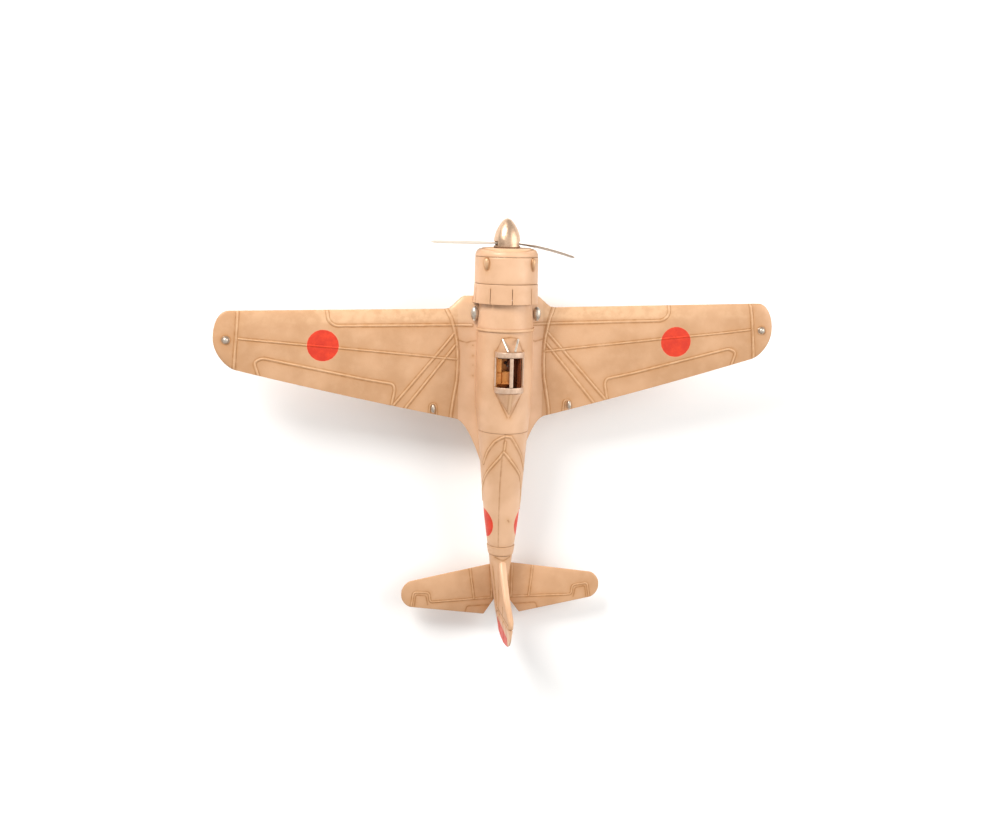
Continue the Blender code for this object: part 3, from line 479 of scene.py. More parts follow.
class Nodes:
    """A short way to write a node tree."""

    def __init__(self, name):
        self.material = bpy.data.materials.new(name)
        self.material.use_nodes = True
        self.tree = self.material.node_tree
        self.shader = self.tree.nodes["Principled BSDF"]
        coordinates = self.add("ShaderNodeTexCoord")
        self.place = coordinates.outputs["Object"]

    def add(self, kind, **settings):
        node = self.tree.nodes.new(kind)
        for key, value in settings.items():
            setattr(node, key, value)
        return node

    def put(self, socket, value):
        if isinstance(value, bpy.types.NodeSocket):
            self.tree.links.new(value, socket)
        else:
            socket.default_value = value

    def stretched(self, scale):
        """Coordinates stretched along the airframe's axes."""
        node = self.add("ShaderNodeMapping", vector_type="TEXTURE")
        self.put(node.inputs["Vector"], self.place)
        node.inputs["Scale"].default_value = scale
        return node.outputs["Vector"]

    def noise(self, scale, detail=3.0, roughness=0.55, vector=None):
        node = self.add("ShaderNodeTexNoise")
        self.put(node.inputs["Vector"], vector or self.place)
        self.put(node.inputs["Scale"], scale)
        self.put(node.inputs["Detail"], detail)
        self.put(node.inputs["Roughness"], roughness)
        return node.outputs["Fac"]

    def span(self, value, low, high, to_low=0.0, to_high=1.0):
        node = self.add("ShaderNodeMapRange", interpolation_type="SMOOTHSTEP")
        self.put(node.inputs["Value"], value)
        for key, number in (("From Min", low), ("From Max", high), ("To Min", to_low), ("To Max", to_high)):
            node.inputs[key].default_value = number
        return node.outputs["Result"]

    def math(self, operation, first, second=0.0):
        node = self.add("ShaderNodeMath", operation=operation, use_clamp=False)
        self.put(node.inputs[0], first)
        self.put(node.inputs[1], second)
        return node.outputs[0]

    def mix(self, factor, first, second, blend="MIX"):
        node = self.add("ShaderNodeMix", data_type="RGBA", blend_type=blend)
        self.put(node.inputs["Factor"], factor)
        for socket, value in ((node.inputs[6], first), (node.inputs[7], second)):
            self.put(socket, (*value, 1.0) if isinstance(value, tuple) else value)
        return node.outputs[2]

    def mark(self, name):
        return self.add("ShaderNodeAttribute", attribute_name=name,
                        attribute_type="GEOMETRY").outputs["Fac"]

    def bump(self, height, distance, strength=1.0, below=None):
        node = self.add("ShaderNodeBump")
        node.inputs["Strength"].default_value = strength
        node.inputs["Distance"].default_value = distance
        self.put(node.inputs["Height"], height)
        if below is not None:
            self.put(node.inputs["Normal"], below)
        return node.outputs["Normal"]

    def finish(self, colour, roughness, metallic=0.0, normal=None, **uniform):
        self.put(self.shader.inputs["Base Color"], colour)
        self.put(self.shader.inputs["Roughness"], roughness)
        self.put(self.shader.inputs["Metallic"], metallic)
        if normal is not None:
            self.put(self.shader.inputs["Normal"], normal)
        for key, value in uniform.items():
            self.shader.inputs[key.replace("_", " ")].default_value = value
        return self.material


def cream_paint(name="cream_paint_aged", light=(0.63, 0.365, 0.200), dark=(0.53, 0.290, 0.145),
                metallic=0.06):
    """Satin cream paint with brown wash in the recesses, mottling, painted highlights on crests and edges,
    and brown painted shade with grime in creases and at rims.
    """
    n = Nodes(name)
    broad = n.noise(28.0, 3.0, 0.5)
    mottle = n.noise(150.0, 5.0, 0.62)
    grain = n.noise(900.0, 4.0, 0.6)
    colour = n.mix(n.span(broad, 0.36, 0.66), dark, light)
    colour = n.mix(n.span(mottle, 0.42, 0.72, 0.0, 0.18), colour, (0.72, 0.46, 0.28))
    colour = n.mix(n.span(n.noise(420.0, 4.0, 0.7), 0.60, 0.74, 0.0, 0.10), colour, (0.40, 0.19, 0.07))
    # Brown painted shade, blotched like grime, in creases, at rims and at joins.
    shade_and_grime = n.math("MULTIPLY", n.mark("shade_and_grime"), n.span(n.noise(110.0, 4.0, 0.6), 0.30, 0.68, 0.12, 0.62))
    colour = n.mix(shade_and_grime, colour, (0.50, 0.235, 0.080))
    # Painted highlight: lighter paint on bead crests, ridges and the leading edges.
    painted_highlight = n.math("MULTIPLY", n.mark("painted_highlight"), n.span(mottle, 0.35, 0.62, 0.30, 0.75))
    colour = n.mix(painted_highlight, colour, (0.74, 0.47, 0.27))
    wash = n.math("MULTIPLY", n.mark("wash"), n.span(n.noise(190.0, 3.0, 0.6), 0.32, 0.62, 0.42, 0.92))
    colour = n.mix(wash, colour, (0.330, 0.130, 0.028))
    disc = n.mark("disc")
    ragged = n.math("ADD", disc, n.math("MULTIPLY", n.math("SUBTRACT", n.noise(700.0, 2.0), 0.5), 0.5))
    red = n.mix(n.span(mottle, 0.35, 0.70), (0.60, 0.024, 0.003), (0.74, 0.042, 0.006))
    # Painted highlight on the crests of the red discs too.
    red = n.mix(n.math("MULTIPLY", n.mark("painted_highlight"), 0.25), red, (0.86, 0.09, 0.02))
    red = n.mix(n.math("MULTIPLY", n.mark("wash"), 0.22), red, (0.30, 0.02, 0.004))
    rim = n.span(ragged, 1.35, 2.0, 0.0, 0.30)
    colour = n.mix(rim, colour, (0.80, 0.30, 0.16))
    colour = n.mix(n.span(ragged, 1.95, 2.30), colour, red)
    rough = n.span(n.noise(260.0, 4.0, 0.6), 0.3, 0.7, 0.36, 0.54)
    rough = n.math("ADD", rough, n.math("MULTIPLY", n.mark("wash"), 0.16))
    normal = n.bump(mottle, 0.00022, 0.55)
    normal = n.bump(grain, 0.00006, 0.5, normal)
    return n.finish(colour, rough, metallic, normal, Coat_Weight=0.10, Coat_Roughness=0.32)


def metal(name, light, dark, metallic, rough, brush=(1.0, 1.0, 1.0), stain=(0.25, 0.12, 0.05),
          stained=0.35):
    """Bare or lacquered metal with brushed grain and stains."""
    n = Nodes(name)
    brushed = n.noise(650.0, 4.0, 0.65, n.stretched(brush))
    patches = n.noise(180.0, 4.0, 0.6)
    colour = n.mix(n.span(brushed, 0.32, 0.68), dark, light)
    colour = n.mix(n.span(patches, 0.55, 0.80, 0.0, stained), colour, stain)
    colour = n.mix(n.math("MULTIPLY", n.mark("wash"), 0.85), colour, stain)
    roughness = n.math("ADD", n.span(brushed, 0.3, 0.7, rough - 0.06, rough + 0.08),
                       n.span(patches, 0.5, 0.8, 0.0, 0.15))
    normal = n.bump(brushed, 0.00005, 0.6)
    return n.finish(colour, roughness, metallic, normal)


def brown_paint(name="cockpit_paint"):
    n = Nodes(name)
    streaks = n.noise(300.0, 5.0, 0.65, n.stretched((1.0, 0.4, 1.0)))
    patches = n.noise(120.0, 3.0, 0.5)
    # Painted light and shade: ochre on the port half of the cockpit as if lit, dark brown on the starboard
    # half as if shaded.
    lit_side_split = n.add("ShaderNodeSeparateXYZ")
    n.put(lit_side_split.inputs[0], n.place)
    colour = n.mix(n.span(lit_side_split.outputs["X"], -0.004, 0.0), (0.24, 0.060, 0.016), (0.72, 0.31, 0.075))
    colour = n.mix(n.span(streaks, 0.40, 0.75, 0.0, 0.30), colour, (0.42, 0.15, 0.035))
    colour = n.mix(n.span(patches, 0.5, 0.75, 0.0, 0.3), colour, (0.15, 0.045, 0.012))
    colour = n.mix(n.math("MULTIPLY", n.mark("wash"), 0.8), colour, (0.05, 0.015, 0.006))
    return n.finish(colour, n.span(streaks, 0.3, 0.7, 0.42, 0.68), 0.1, n.bump(streaks, 0.0001, 0.5))


def rubber(name="tyre_rubber"):
    n = Nodes(name)
    dust = n.noise(260.0, 5.0, 0.65)
    colour = n.mix(n.span(dust, 0.48, 0.75, 0.0, 0.7), (0.018, 0.016, 0.015), (0.085, 0.068, 0.052))
    return n.finish(colour, n.span(dust, 0.3, 0.7, 0.62, 0.85), 0.0,
                    n.bump(n.noise(1400.0, 3.0), 0.00006, 0.5))


CREAM = cream_paint(), "cream_paint"
BODY = cream_paint("cream_paint_body", (0.72, 0.445, 0.275), (0.62, 0.365, 0.210)), "cream_paint"
BLISTER = cream_paint("bronzed_paint", (0.66, 0.42, 0.25), (0.50, 0.29, 0.155), 0.45), "champagne_metal"
CHAMPAGNE = metal("champagne_lacquer", (0.71, 0.51, 0.36), (0.54, 0.36, 0.24), 0.88, 0.33,
                  (1.0, 0.12, 1.0)), "champagne_metal"
BLADE = metal("blade_lacquer", (0.58, 0.50, 0.41), (0.49, 0.42, 0.34), 0.25, 0.42, (8.0, 1.0, 1.0),
              (0.33, 0.22, 0.13), 0.30), "beige_metal"
SILVER = metal("worn_silver", (0.66, 0.59, 0.51), (0.48, 0.41, 0.34), 0.80, 0.36, (1.0, 3.0, 1.0),
               (0.30, 0.16, 0.07), 0.30), "silver_metal"
FRAME_METAL = metal("canopy_frame_lacquer", (0.64, 0.45, 0.33), (0.52, 0.35, 0.245), 0.30, 0.40,
                    (1.0, 2.0, 1.0), (0.36, 0.17, 0.07), 0.35), "silver_metal"
DARK = metal("engine_casting", (0.15, 0.12, 0.095), (0.06, 0.048, 0.04), 0.7, 0.42, (1.0, 1.0, 1.0),
             (0.20, 0.09, 0.03), 0.5), "dark_metal"
BROWN = brown_paint(), "brown_paint"
RUBBER = rubber(), "black_rubber"


# ---------------------------------------------------------------- wing

def cosine(count):
    """Chord fractions, closer together at the leading edge."""
    t = np.linspace(0.0, 1.0, count)
    return 0.35 * (1.0 - np.cos(math.pi / 2 * t)) + 0.65 * t ** 1.25


SLOT_LINE = rounded([(22.5, 60.6), (123.5, 59.0), (128.4, 55.0), (128.9, 46.0)], 5.0)
SPAR_LINES = {"left": [(192.0, 66.6), (168.0, 69.6), (144.0, 72.5), (120.0, 75.3), (34.0, 86.0)],
              "right": [(192.0, 66.6), (168.0, 69.2), (144.0, 71.2), (120.0, 73.2), (34.0, 81.3)]}
AILERON_LINE = rounded([(177.6, 99.5), (182.0, 84.0), (176.5, 81.0), (102.0, 99.2), (81.6, 103.4),
                        (80.4, 107.5), (84.0, 125.0)], 3.4)
DIAGONAL_1 = [(35.2, 66.6), (84.2, 122.6)]
DIAGONAL_2 = [(34.4, 75.2), (76.4, 126.8)]
ROOT_LINE = [(41.4, 47.0), (39.6, 51.2), (37.4, 56.0), (35.4, 63.5), (33.6, 71.5), (32.9, 80.0),
             (32.8, 90.0), (33.4, 102.0), (35.6, 114.0), (37.2, 124.0), (38.4, 136.0)]
TIP_LINE = [(191.6, 44.0), (196.6, 92.0)]
LAMP_ARCH = rounded([(54.6, 128.6), (53.8, 119.6), (49.4, 119.6), (48.6, 129.8)], 2.6)
FILLET_STEP = [(33.0, 71.4), (29.5, 72.8), (26.0, 73.6), (23.0, 72.6), (19.5, 72.2)]
UPPER_LINES = [(SLOT_LINE, BEAD), (AILERON_LINE, BEAD), (DIAGONAL_1, BEAD),
               (DIAGONAL_2, BEAD), (ROOT_LINE, (1.25, 0.50)), (TIP_LINE, BEAD), (LAMP_ARCH, (0.75, 0.35)),
               (FILLET_STEP, GROOVE), (ellipse_line((201.1, 67.2), (3.3, 3.3)), GROOVE)]
UPPER_LINES += [([(21.7, y)], DOT) for y in (75.6, 83.4, 90.6, 98.4)] + [([(34.0, 113.0)], DOT)]
LOWER_LINES = [([(192.0, 66.6), (34.0, 86.0)], SPAR_BEAD), (AILERON_LINE, BEAD), (TIP_LINE, BEAD),
               (ROOT_LINE, (1.25, 0.45)),
               (rounded([(36.0, 60.0), (52.0, 55.0), (72.0, 56.0), (76.0, 66.0), (72.0, 78.0), (56.0, 84.0),
                         (36.0, 80.0)], 6.0), BEAD),
               (ellipse_line((46.0, 69.5), (11.0, 11.5)), FINE_BEAD),
               ([(120.0, 46.0), (122.0, 100.0)], FINE_BEAD),
               ([(92.0, 46.0), (94.0, 108.0)], FINE_BEAD), ([(150.0, 46.0), (152.0, 92.0)], FINE_BEAD),
               ([(58.0, 110.0), (78.0, 106.0)], GROOVE), ([(58.0, 110.0), (58.0, 128.0)], GROOVE),
               ([(160.0, 71.0), (162.0, 80.0)], GROOVE)]
SIDE_LINES = {side: as_lines(UPPER_LINES + [(line, SPAR_BEAD)]) for side, line in SPAR_LINES.items()}
LOWER_LINES = as_lines(LOWER_LINES)
WING_DISCS = {"left": ((132.6, 73.1), 11.6), "right": ((134.4, 75.4), 11.6)}


def waviness(x, y, size=0.10):
    """Slow unevenness of pressed sheet."""
    return size * (np.sin(x * 0.11 + 0.7 * np.sin(y * 0.07)) * np.sin(y * 0.13 + 0.4)
                   + 0.6 * np.sin(x * 0.043 + y * 0.061 + 1.3))


def sheet_marks(wash, painted_highlight, shade_and_grime, disc, inner_count, inner_shade):
    """Marks of an outer face, then those of the plain inner one, darkened with painted shade."""
    blank = np.zeros(inner_count)
    insides = {"wash": blank, "painted_highlight": blank, "shade_and_grime": blank + inner_shade, "disc": blank}
    outsides = {"wash": wash, "painted_highlight": painted_highlight, "shade_and_grime": shade_and_grime, "disc": disc}
    return {key: np.concatenate([outsides[key], insides[key]]) for key in insides}


def deepen(marks, key, values):
    """Strengthen a mark on the outer face."""
    values = np.asarray(values).ravel()
    marks[key][:len(values)] = np.maximum(marks[key][:len(values)], values)


def plan_marks(outer_xy, lines, disc, inner_count, rim_shade):
    relief, wash, painted_highlight, shade_and_grime = emboss(outer_xy, lines)
    depth = disc_depth(outer_xy, *disc) if disc else np.zeros(len(outer_xy))
    # The rims take the given painted shade, and the inner face is darkened with painted shade.
    return relief, sheet_marks(wash, painted_highlight, np.maximum(shade_and_grime, rim_shade), depth, inner_count, 0.4)


def highlight_leading_edge(marks, spots):
    """Painted highlight on the slat and the glove, ahead of the slot line, where the leading edge meets the
    light.
    """
    leading_highlight = smooth(59.0 - spots[:, 1], 0.0, 4.0) * (1.0 - 0.7 * smooth(spots[:, 0], 120.0, 150.0))
    deepen(marks, "painted_highlight", leading_highlight)


def inner_size(grid, wrap, step):
    rows, columns = grid.shape[:2]
    return ((rows - 1) // step + 1) * (columns // step if wrap else (columns - 1) // step + 1)


def wing_skin(side, upper):
    """One pressed skin of a wing half, from the root joint to the tip joint."""
    rows, columns = (353, 161) if upper else (209, 97)
    x = np.linspace(WING_JOINT + 0.03, TIP_JOINT, rows)[:, None] + np.zeros((1, columns))
    fraction = cosine(columns)[None, :] + np.zeros((rows, 1))
    y = leading_edge(x) + fraction * (trailing_edge(x) - leading_edge(x))
    z = wing_face(x, fraction, upper)
    flip = 1.0 if upper else -1.0
    # Painted shade along the leading and trailing edges.
    edge = np.exp(-np.minimum(fraction, 1.0 - fraction) * (trailing_edge(x) - leading_edge(x)) / 1.1)
    spots = np.stack([x.ravel(), y.ravel()], -1)
    lines = SIDE_LINES[side] if upper else LOWER_LINES
    relief, marks = plan_marks(spots, lines, WING_DISCS[side], inner_size(z, False, 4), 0.55 * edge.ravel())
    highlight_leading_edge(marks, spots)
    fade = smooth(np.minimum(fraction, 1.0 - fraction), 0.0, 0.012)
    bumps = (relief.reshape(z.shape) + waviness(x, y, 0.07)) * (0.25 + 0.75 * fade)
    outer = np.stack([x, y, z + flip * bumps], -1)
    middle = wing_height(x)
    inner_z = middle + flip * np.maximum(flip * (z - middle) - SHEET, 0.05)
    inner = np.stack([x, y, inner_z], -1)
    points, faces = grid_shell(outer, inner)
    if not upper:
        faces = flipped(faces)
    if side == "right":
        points, faces = mirrored(points, faces)
    label = f"wing_{side}_{'upper' if upper else 'lower'}_skin"
    build(f"pressed_{label}", (points, faces), CREAM, label, marks, square=True)


def wing_tip(side):
    """Rounded tip with its lamp ring and the notch in its rim."""
    rows, columns = 57, 97
    along = np.linspace(0.0, 1.0, rows)
    xs = TIP_JOINT + 0.04 + (209.9 - TIP_JOINT) * np.sin(along * math.pi / 2) ** 0.85
    x = xs[:, None] + np.zeros((1, columns))
    front, rear = tip_edges(x)
    t = np.linspace(0.0, 1.0, columns)
    fraction = (0.5 - 0.5 * np.cos(math.pi * t)) * 0.6 + 0.4 * t
    y = front + fraction[None, :] * (rear - front)
    chord_fraction = (y - leading_edge(x)) / (trailing_edge(x) - leading_edge(x))
    out = np.clip((x - TIP_JOINT) / (HALF_SPAN - TIP_JOINT), 0.0, 1.0)
    keep = np.sqrt(np.clip(1.0 - out ** 2.4, 0.0, 1.0))
    middle = wing_height(x)
    edge = np.sqrt(np.clip(4 * fraction * (1 - fraction), 0.0, 1.0))[None, :] ** 0.8
    blend = smooth(out, 0.0, 0.35)
    above = wing_face(x, chord_fraction, True) - middle
    below = middle - wing_face(x, chord_fraction, False)
    thick = (above * (1 - blend) + blend * (0.4 + 2.4 * edge)) * keep + 0.10
    thin = (below * (1 - blend) + blend * (0.3 + 1.7 * edge)) * keep + 0.10
    spots = np.stack([x.ravel(), y.ravel()], -1)
    rim = np.minimum.reduce([y - front, rear - y, HALF_SPAN - x])
    # Painted shade along the tip's rim.
    shade_and_grime = 0.6 * np.exp(-rim / 1.2).ravel()
    relief, marks = plan_marks(spots, SIDE_LINES[side], None, inner_size(y, False, 1), shade_and_grime)
    notch = np.array((207.6, 62.2))
    bite = 0.9 * np.exp(-((x - notch[0]) ** 2 + (y - notch[1]) ** 2) / 1.6)
    calm = smooth(rim, 0.0, 1.0)
    bumps = (relief.reshape(y.shape) + waviness(x, y, 0.05)) * calm
    upper = np.stack([x - bite * 0.5, y, middle + thick + bumps], -1)
    lower = np.stack([x - bite * 0.5, y, middle - thin], -1)
    points, faces = grid_shell(upper, lower, step=1)
    if side == "right":
        points, faces = mirrored(points, faces)
    build(f"pressed_wing_tip_{side}", (points, faces), CREAM, f"wing_tip_{side}", marks, square=True)


def body_side(y, z):
    """Half width of the cowl or fuselage at a station and height."""
    width, height, centre = fuselage_size(y)
    rise = np.clip((z - centre) / height, -0.98, 0.98)
    skin = width * np.sqrt(1.0 - rise ** 2)
    cowl = np.sqrt(np.maximum(24.9 ** 2 - z ** 2, 1.0))
    return np.where(y < 44.0, cowl, skin * smooth(y, 44.0, 45.2) + cowl * (1.0 - smooth(y, 44.0, 45.2)))


def fillet(side):
    """Sheet fairing between the wing root and the fuselage, with the glove beside the cowl."""
    rows, columns = 61, 209
    u = np.linspace(0.0, 1.0, rows)[:, None]
    fraction = cosine(columns)[None, :]
    lean = math.tan(ASKEW) * (-1.0 if side == "left" else 1.0)

    def face(upper):
        inner_x = np.full((1, columns), 20.0)
        for _ in range(40):
            y = leading_edge(inner_x) + fraction * (trailing_edge(inner_x) - leading_edge(inner_x))
            target = body_side(y, wing_face(inner_x, fraction, upper)) - 0.25 + lean * (y - ASKEW_ABOUT)
            inner_x = inner_x + 0.25 * (np.clip(target, 10.5, 27.5) - inner_x)
        x = inner_x + (WING_JOINT - inner_x) * (1.0 - (1.0 - u) ** 1.25)
        y = leading_edge(x) + fraction * (trailing_edge(x) - leading_edge(x))
        return x, y, wing_face(x, fraction, upper)

    x, y, z = face(True)
    lower_x, lower_y, lower_z = face(False)
    spots = np.stack([x.ravel(), y.ravel()], -1)
    # Painted shade along the fold against the fuselage and along the leading and trailing edges.
    fold_shade = 0.75 * np.exp(-(x - x[:1]) / 1.3)
    edge = 0.5 * np.exp(-np.minimum(fraction, 1.0 - fraction) * 95.0 / 1.1) + 0.0 * x
    relief, marks = plan_marks(spots, SIDE_LINES[side], None, inner_size(z, False, 4),
                               np.maximum(fold_shade, edge).ravel())
    highlight_leading_edge(marks, spots)
    fade = smooth(np.minimum(fraction, 1.0 - fraction), 0.0, 0.012)
    top = np.stack([x, y, z + (relief.reshape(z.shape) + waviness(x, y, 0.08)) * (0.25 + 0.75 * fade)], -1)
    points, faces = grid_shell(top, np.stack([lower_x, lower_y, lower_z], -1))
    if side == "right":
        points, faces = mirrored(points, faces)
    build(f"pressed_wing_fillet_{side}", (points, faces), BODY, f"wing_fillet_{side}", marks, square=True)


# ---------------------------------------------------------------- fuselage

def full_turn(count):
    """A row of angles once round, from the top, within half a turn either way."""
    turn = np.arange(count) * 2 * math.pi / count
    return np.where(turn > math.pi, turn - 2 * math.pi, turn)[None, :]


def rim_distance(station, ends):
    return np.minimum(np.abs(station - ends[0]), np.abs(ends[1] - station))


def unrolled(station, angle):
    """Flat coordinates of fuselage points: station and girth from the top."""
    width, height, _ = fuselage_size(station)
    return np.stack([station.ravel(), (angle * (width + height) / 2).ravel()], -1)


def skin_line(*spots):
    """A line on the fuselage from (station, degrees) spots, unrolled."""
    spots = np.array(spots, float)
    if len(spots) > 1:
        run = np.linspace(0.0, len(spots) - 1.0, 6 * (len(spots) - 1) + 1)
        spots = np.stack([np.interp(run, np.arange(len(spots)), spots[:, k]) for k in (0, 1)], -1)
    return unrolled(spots[:, 0], np.radians(spots[:, 1]))


def flanks(kind, *spots):
    """The same line on the port and the starboard flank."""
    sides = [[(station, sign * degrees) for station, degrees in spots] for sign in (1.0, -1.0)]
    return [(skin_line(*side), kind) for side in sides]


def skin_marks(station, angle, lines, disc, inner_count):
    """Marks of a fuselage piece; discs lie on both flanks."""
    flat = unrolled(station, angle)
    relief, wash, painted_highlight, shade_and_grime = emboss(flat, lines)
    depth = np.zeros(len(flat))
    if disc:
        for sign in (1.0, -1.0):
            centre = unrolled(np.array([disc[0]]), np.array([sign * math.pi / 2]))[0]
            width, height, _ = fuselage_size(disc[0])
            spots = np.stack([flat[:, 0], angle.ravel() * (width + height) / 2], -1)
            depth = np.maximum(depth, disc_depth(spots, centre, disc[1]))
    return relief.reshape(station.shape), sheet_marks(wash, painted_highlight, shade_and_grime, depth, inner_count, 0.5)


FRONT_LINES = as_lines([
    *flanks(GROOVE, (44.0, 180.0), (140.0, 180.0)),
    *flanks(FINE_BEAD, (67.6, 96.0), (67.6, 120.0), (67.6, 179.0)),
    *flanks(FINE_BEAD, (112.0, 100.0), (112.0, 140.0), (112.0, 179.0)),
    *flanks(GROOVE, (106.5, 28.0), (110.0, 25.5), (117.5, 15.0), (126.6, 2.8)),
    *flanks((0.35, -0.10), (77.0, 29.2), (78.0, 30.6), (92.0, 30.6), (106.0, 30.6)),
    (skin_line((77.4, 27.6), (70.6, 19.0), (68.2, 15.6), (67.4, 0.0), (68.2, -15.6), (70.6, -19.0),
               (77.4, -27.6)), (0.40, -0.15)),
])
SEAM_STATIONS = (140.0, 156.0, 177.0, 224.5, 228.0)
SEAM_DEGREES = (6.0, 12.0, 16.0, 22.0, 22.5)
REAR_LINES = as_lines([
    (skin_line((163.3, 67.8), (153.2, 50.0), (145.4, 31.0), (141.9, 15.0), (140.7, 4.0), (141.4, -8.0),
               (149.2, -25.0), (156.4, -41.0), (163.2, -54.6), (169.0, -66.0)), BEAD),
    (skin_line((193.5, 96.0), (186.0, 92.0), (175.0, 67.6), (166.0, 43.3), (157.5, 19.0), (152.6, 8.0)),
     BEAD),
    (skin_line((152.6, 8.0), (161.0, -14.1), (171.5, -43.8), (180.0, -57.5), (192.0, -74.0),
               (200.0, -82.0)), BEAD),
    (skin_line((206.0, -12.0), (207.2, -16.0)), (0.5, -0.18)),
    (skin_line((145.0, 5.0), (151.0, 7.0)), (0.9, 0.22)),
    *flanks(FINE_BEAD, (196.0, 150.0), (160.0, 140.0), (142.0, 136.0)),
])
SIDE_DISC = (210.0, 11.2)


def seam_angle(station):
    return np.radians(np.interp(station, SEAM_STATIONS, SEAM_DEGREES))


def front_fuselage():
    """Barrel with the cockpit opening cut through it."""
    half = math.asin(10.0 / 21.2)
    angle = np.concatenate([np.linspace(-half, half, 48, endpoint=False),
                            np.linspace(half, 2 * math.pi - half, 256, endpoint=False)])
    stations = np.concatenate([np.linspace(FRONT[0], OPENING[0], 80, endpoint=False),
                               np.linspace(*OPENING, 60, endpoint=False),
                               np.linspace(OPENING[1], FRONT[1], 77)])
    station = stations[:, None] + np.zeros((1, len(angle)))
    turn = np.where(angle > math.pi, angle - 2 * math.pi, angle)[None, :] + np.zeros((len(stations), 1))
    relief, marks = skin_marks(station, turn, FRONT_LINES, None, inner_size(station, True, 4))
    rim = rim_distance(station, FRONT)
    opening = np.maximum(np.abs(turn) * 21.2 - 10.4, np.abs(station - 92.0) - 13.5)
    # Painted shade at the rims and around the cockpit opening.
    deepen(marks, "shade_and_grime", np.maximum(0.5 * np.exp(-rim / 0.8),
                                     0.6 * np.exp(-np.maximum(opening, 0.0) / 1.2)))
    calm = smooth(rim, 0.0, 1.0)
    bumps = (relief + waviness(station, turn * 21.0, 0.06)) * calm
    outer = fuselage_point(station, turn, bumps)
    inner = fuselage_point(station, turn, -SHEET)
    points, faces = grid_shell(outer, inner, wrap=True, holes=[(80, 140, 0, 48)])
    points, faces, marks = drop_unused(points, faces, marks)
    build("pressed_front_fuselage", (points, faces), BODY, "front_fuselage", marks)


def rear_fuselage(side):
    """Half shell between the seam on the back and the belly."""
    stations = np.linspace(*REAR, 193)
    share = np.linspace(0.0, 1.0, 121)[None, :]
    seam = seam_angle(stations)[:, None]
    gap = 0.03 / 15.0
    if side == "left":
        turn = seam + gap + share * (math.pi - gap - seam - 0.004)
    else:
        turn = -math.pi + 0.004 + share * (seam - gap + math.pi - 0.004)
    station = stations[:, None] + np.zeros_like(turn)
    relief, marks = skin_marks(station, turn, REAR_LINES, SIDE_DISC, inner_size(station, False, 4))
    rim = rim_distance(station, REAR)
    to_seam = np.abs(turn - seam) * 14.0
    # Painted shade at the rims.
    deepen(marks, "shade_and_grime", 0.5 * np.exp(-rim / 0.9))
    deepen(marks, "wash", 0.75 * np.exp(-(to_seam / 0.40) ** 2))
    bumps = (relief + waviness(station, turn * 15.0, 0.07)) * smooth(rim, 0.0, 0.9) \
        - 0.10 * np.exp(-(to_seam / 0.6) ** 2)
    outer = fuselage_point(station, turn, bumps)
    inner = fuselage_point(station, turn, -SHEET)
    solid = grid_shell(outer, inner)
    build(f"pressed_rear_fuselage_{side}", solid, BODY, f"rear_fuselage_{side}", marks)


def tail_band():
    """A closed, swollen ring of the fuselage with rounded rims."""
    offset, swell = 0.25, 0.3
    stations = np.linspace(*TAIL_BAND, 17)
    turn = full_turn(224) + np.zeros((len(stations), 1))
    station = stations[:, None] + np.zeros_like(turn)
    relief, marks = skin_marks(station, turn, (), None, inner_size(station, True, 4))
    rim = rim_distance(station, TAIL_BAND)
    # Painted shade at the rims.
    deepen(marks, "shade_and_grime", 0.8 * np.exp(-rim / 0.8))
    deepen(marks, "wash", 0.5 * np.exp(-rim / 0.35))
    lifted = offset + swell * smooth(rim, 0.0, 0.7) + relief \
        + waviness(station, turn * 12.0, 0.05) * smooth(rim, 0, 1)
    outer = fuselage_point(station, turn, lifted)
    inner = fuselage_point(station, turn, offset - SHEET)
    solid = grid_shell(outer, inner, wrap=True)
    build("pressed_tail_band", solid, BODY, "tail_band", marks)


def tail_cone():
    """Closed cone under the tail surfaces."""
    lines = as_lines([*flanks(GROOVE, (243.5, 58.0), (262.0, 52.0), (275.0, 50.0)),
                      (skin_line((235.6, 40.0), (237.4, 12.0), (237.8, 0.0), (237.4, -12.0),
                                 (235.6, -40.0)),
                       GROOVE)])
    stations = np.linspace(*TAIL_CONE, 101)
    turn = full_turn(144) + np.zeros((len(stations), 1))
    station = stations[:, None] + np.zeros_like(turn)
    relief, marks = skin_marks(station, turn, lines, None, 2)
    rim = rim_distance(station, TAIL_CONE)
    # Painted shade at the rims and along the foot of the fin.
    fin_foot_shade = np.exp(-np.abs(turn) * 8.0 / 2.5) * smooth(station, 233.0, 238.0)
    deepen(marks, "shade_and_grime", np.maximum(0.6 * np.exp(-rim / 1.0), 0.9 * fin_foot_shade))
    bumps = (relief + waviness(station, turn * 7.0, 0.04)) * smooth(rim, 0.0, 0.8)
    outer = fuselage_point(station, turn, bumps)
    points = outer.reshape(-1, 3)
    columns = outer.shape[1]
    faces = tube_faces(len(stations), columns, capped=False)
    rear_middle = outer[-1].mean(0) + np.array((0.0, 0.3, 0.0))
    points = np.concatenate([points, outer[0].mean(0)[None], rear_middle[None]])
    last = (len(stations) - 1) * columns
    for c in range(columns):
        d = (c + 1) % columns
        faces.append([len(points) - 2, d, c])
        faces.append([len(points) - 1, last + c, last + d])
    build("pressed_tail_cone", (points, faces), BODY, "tail_cone", marks)


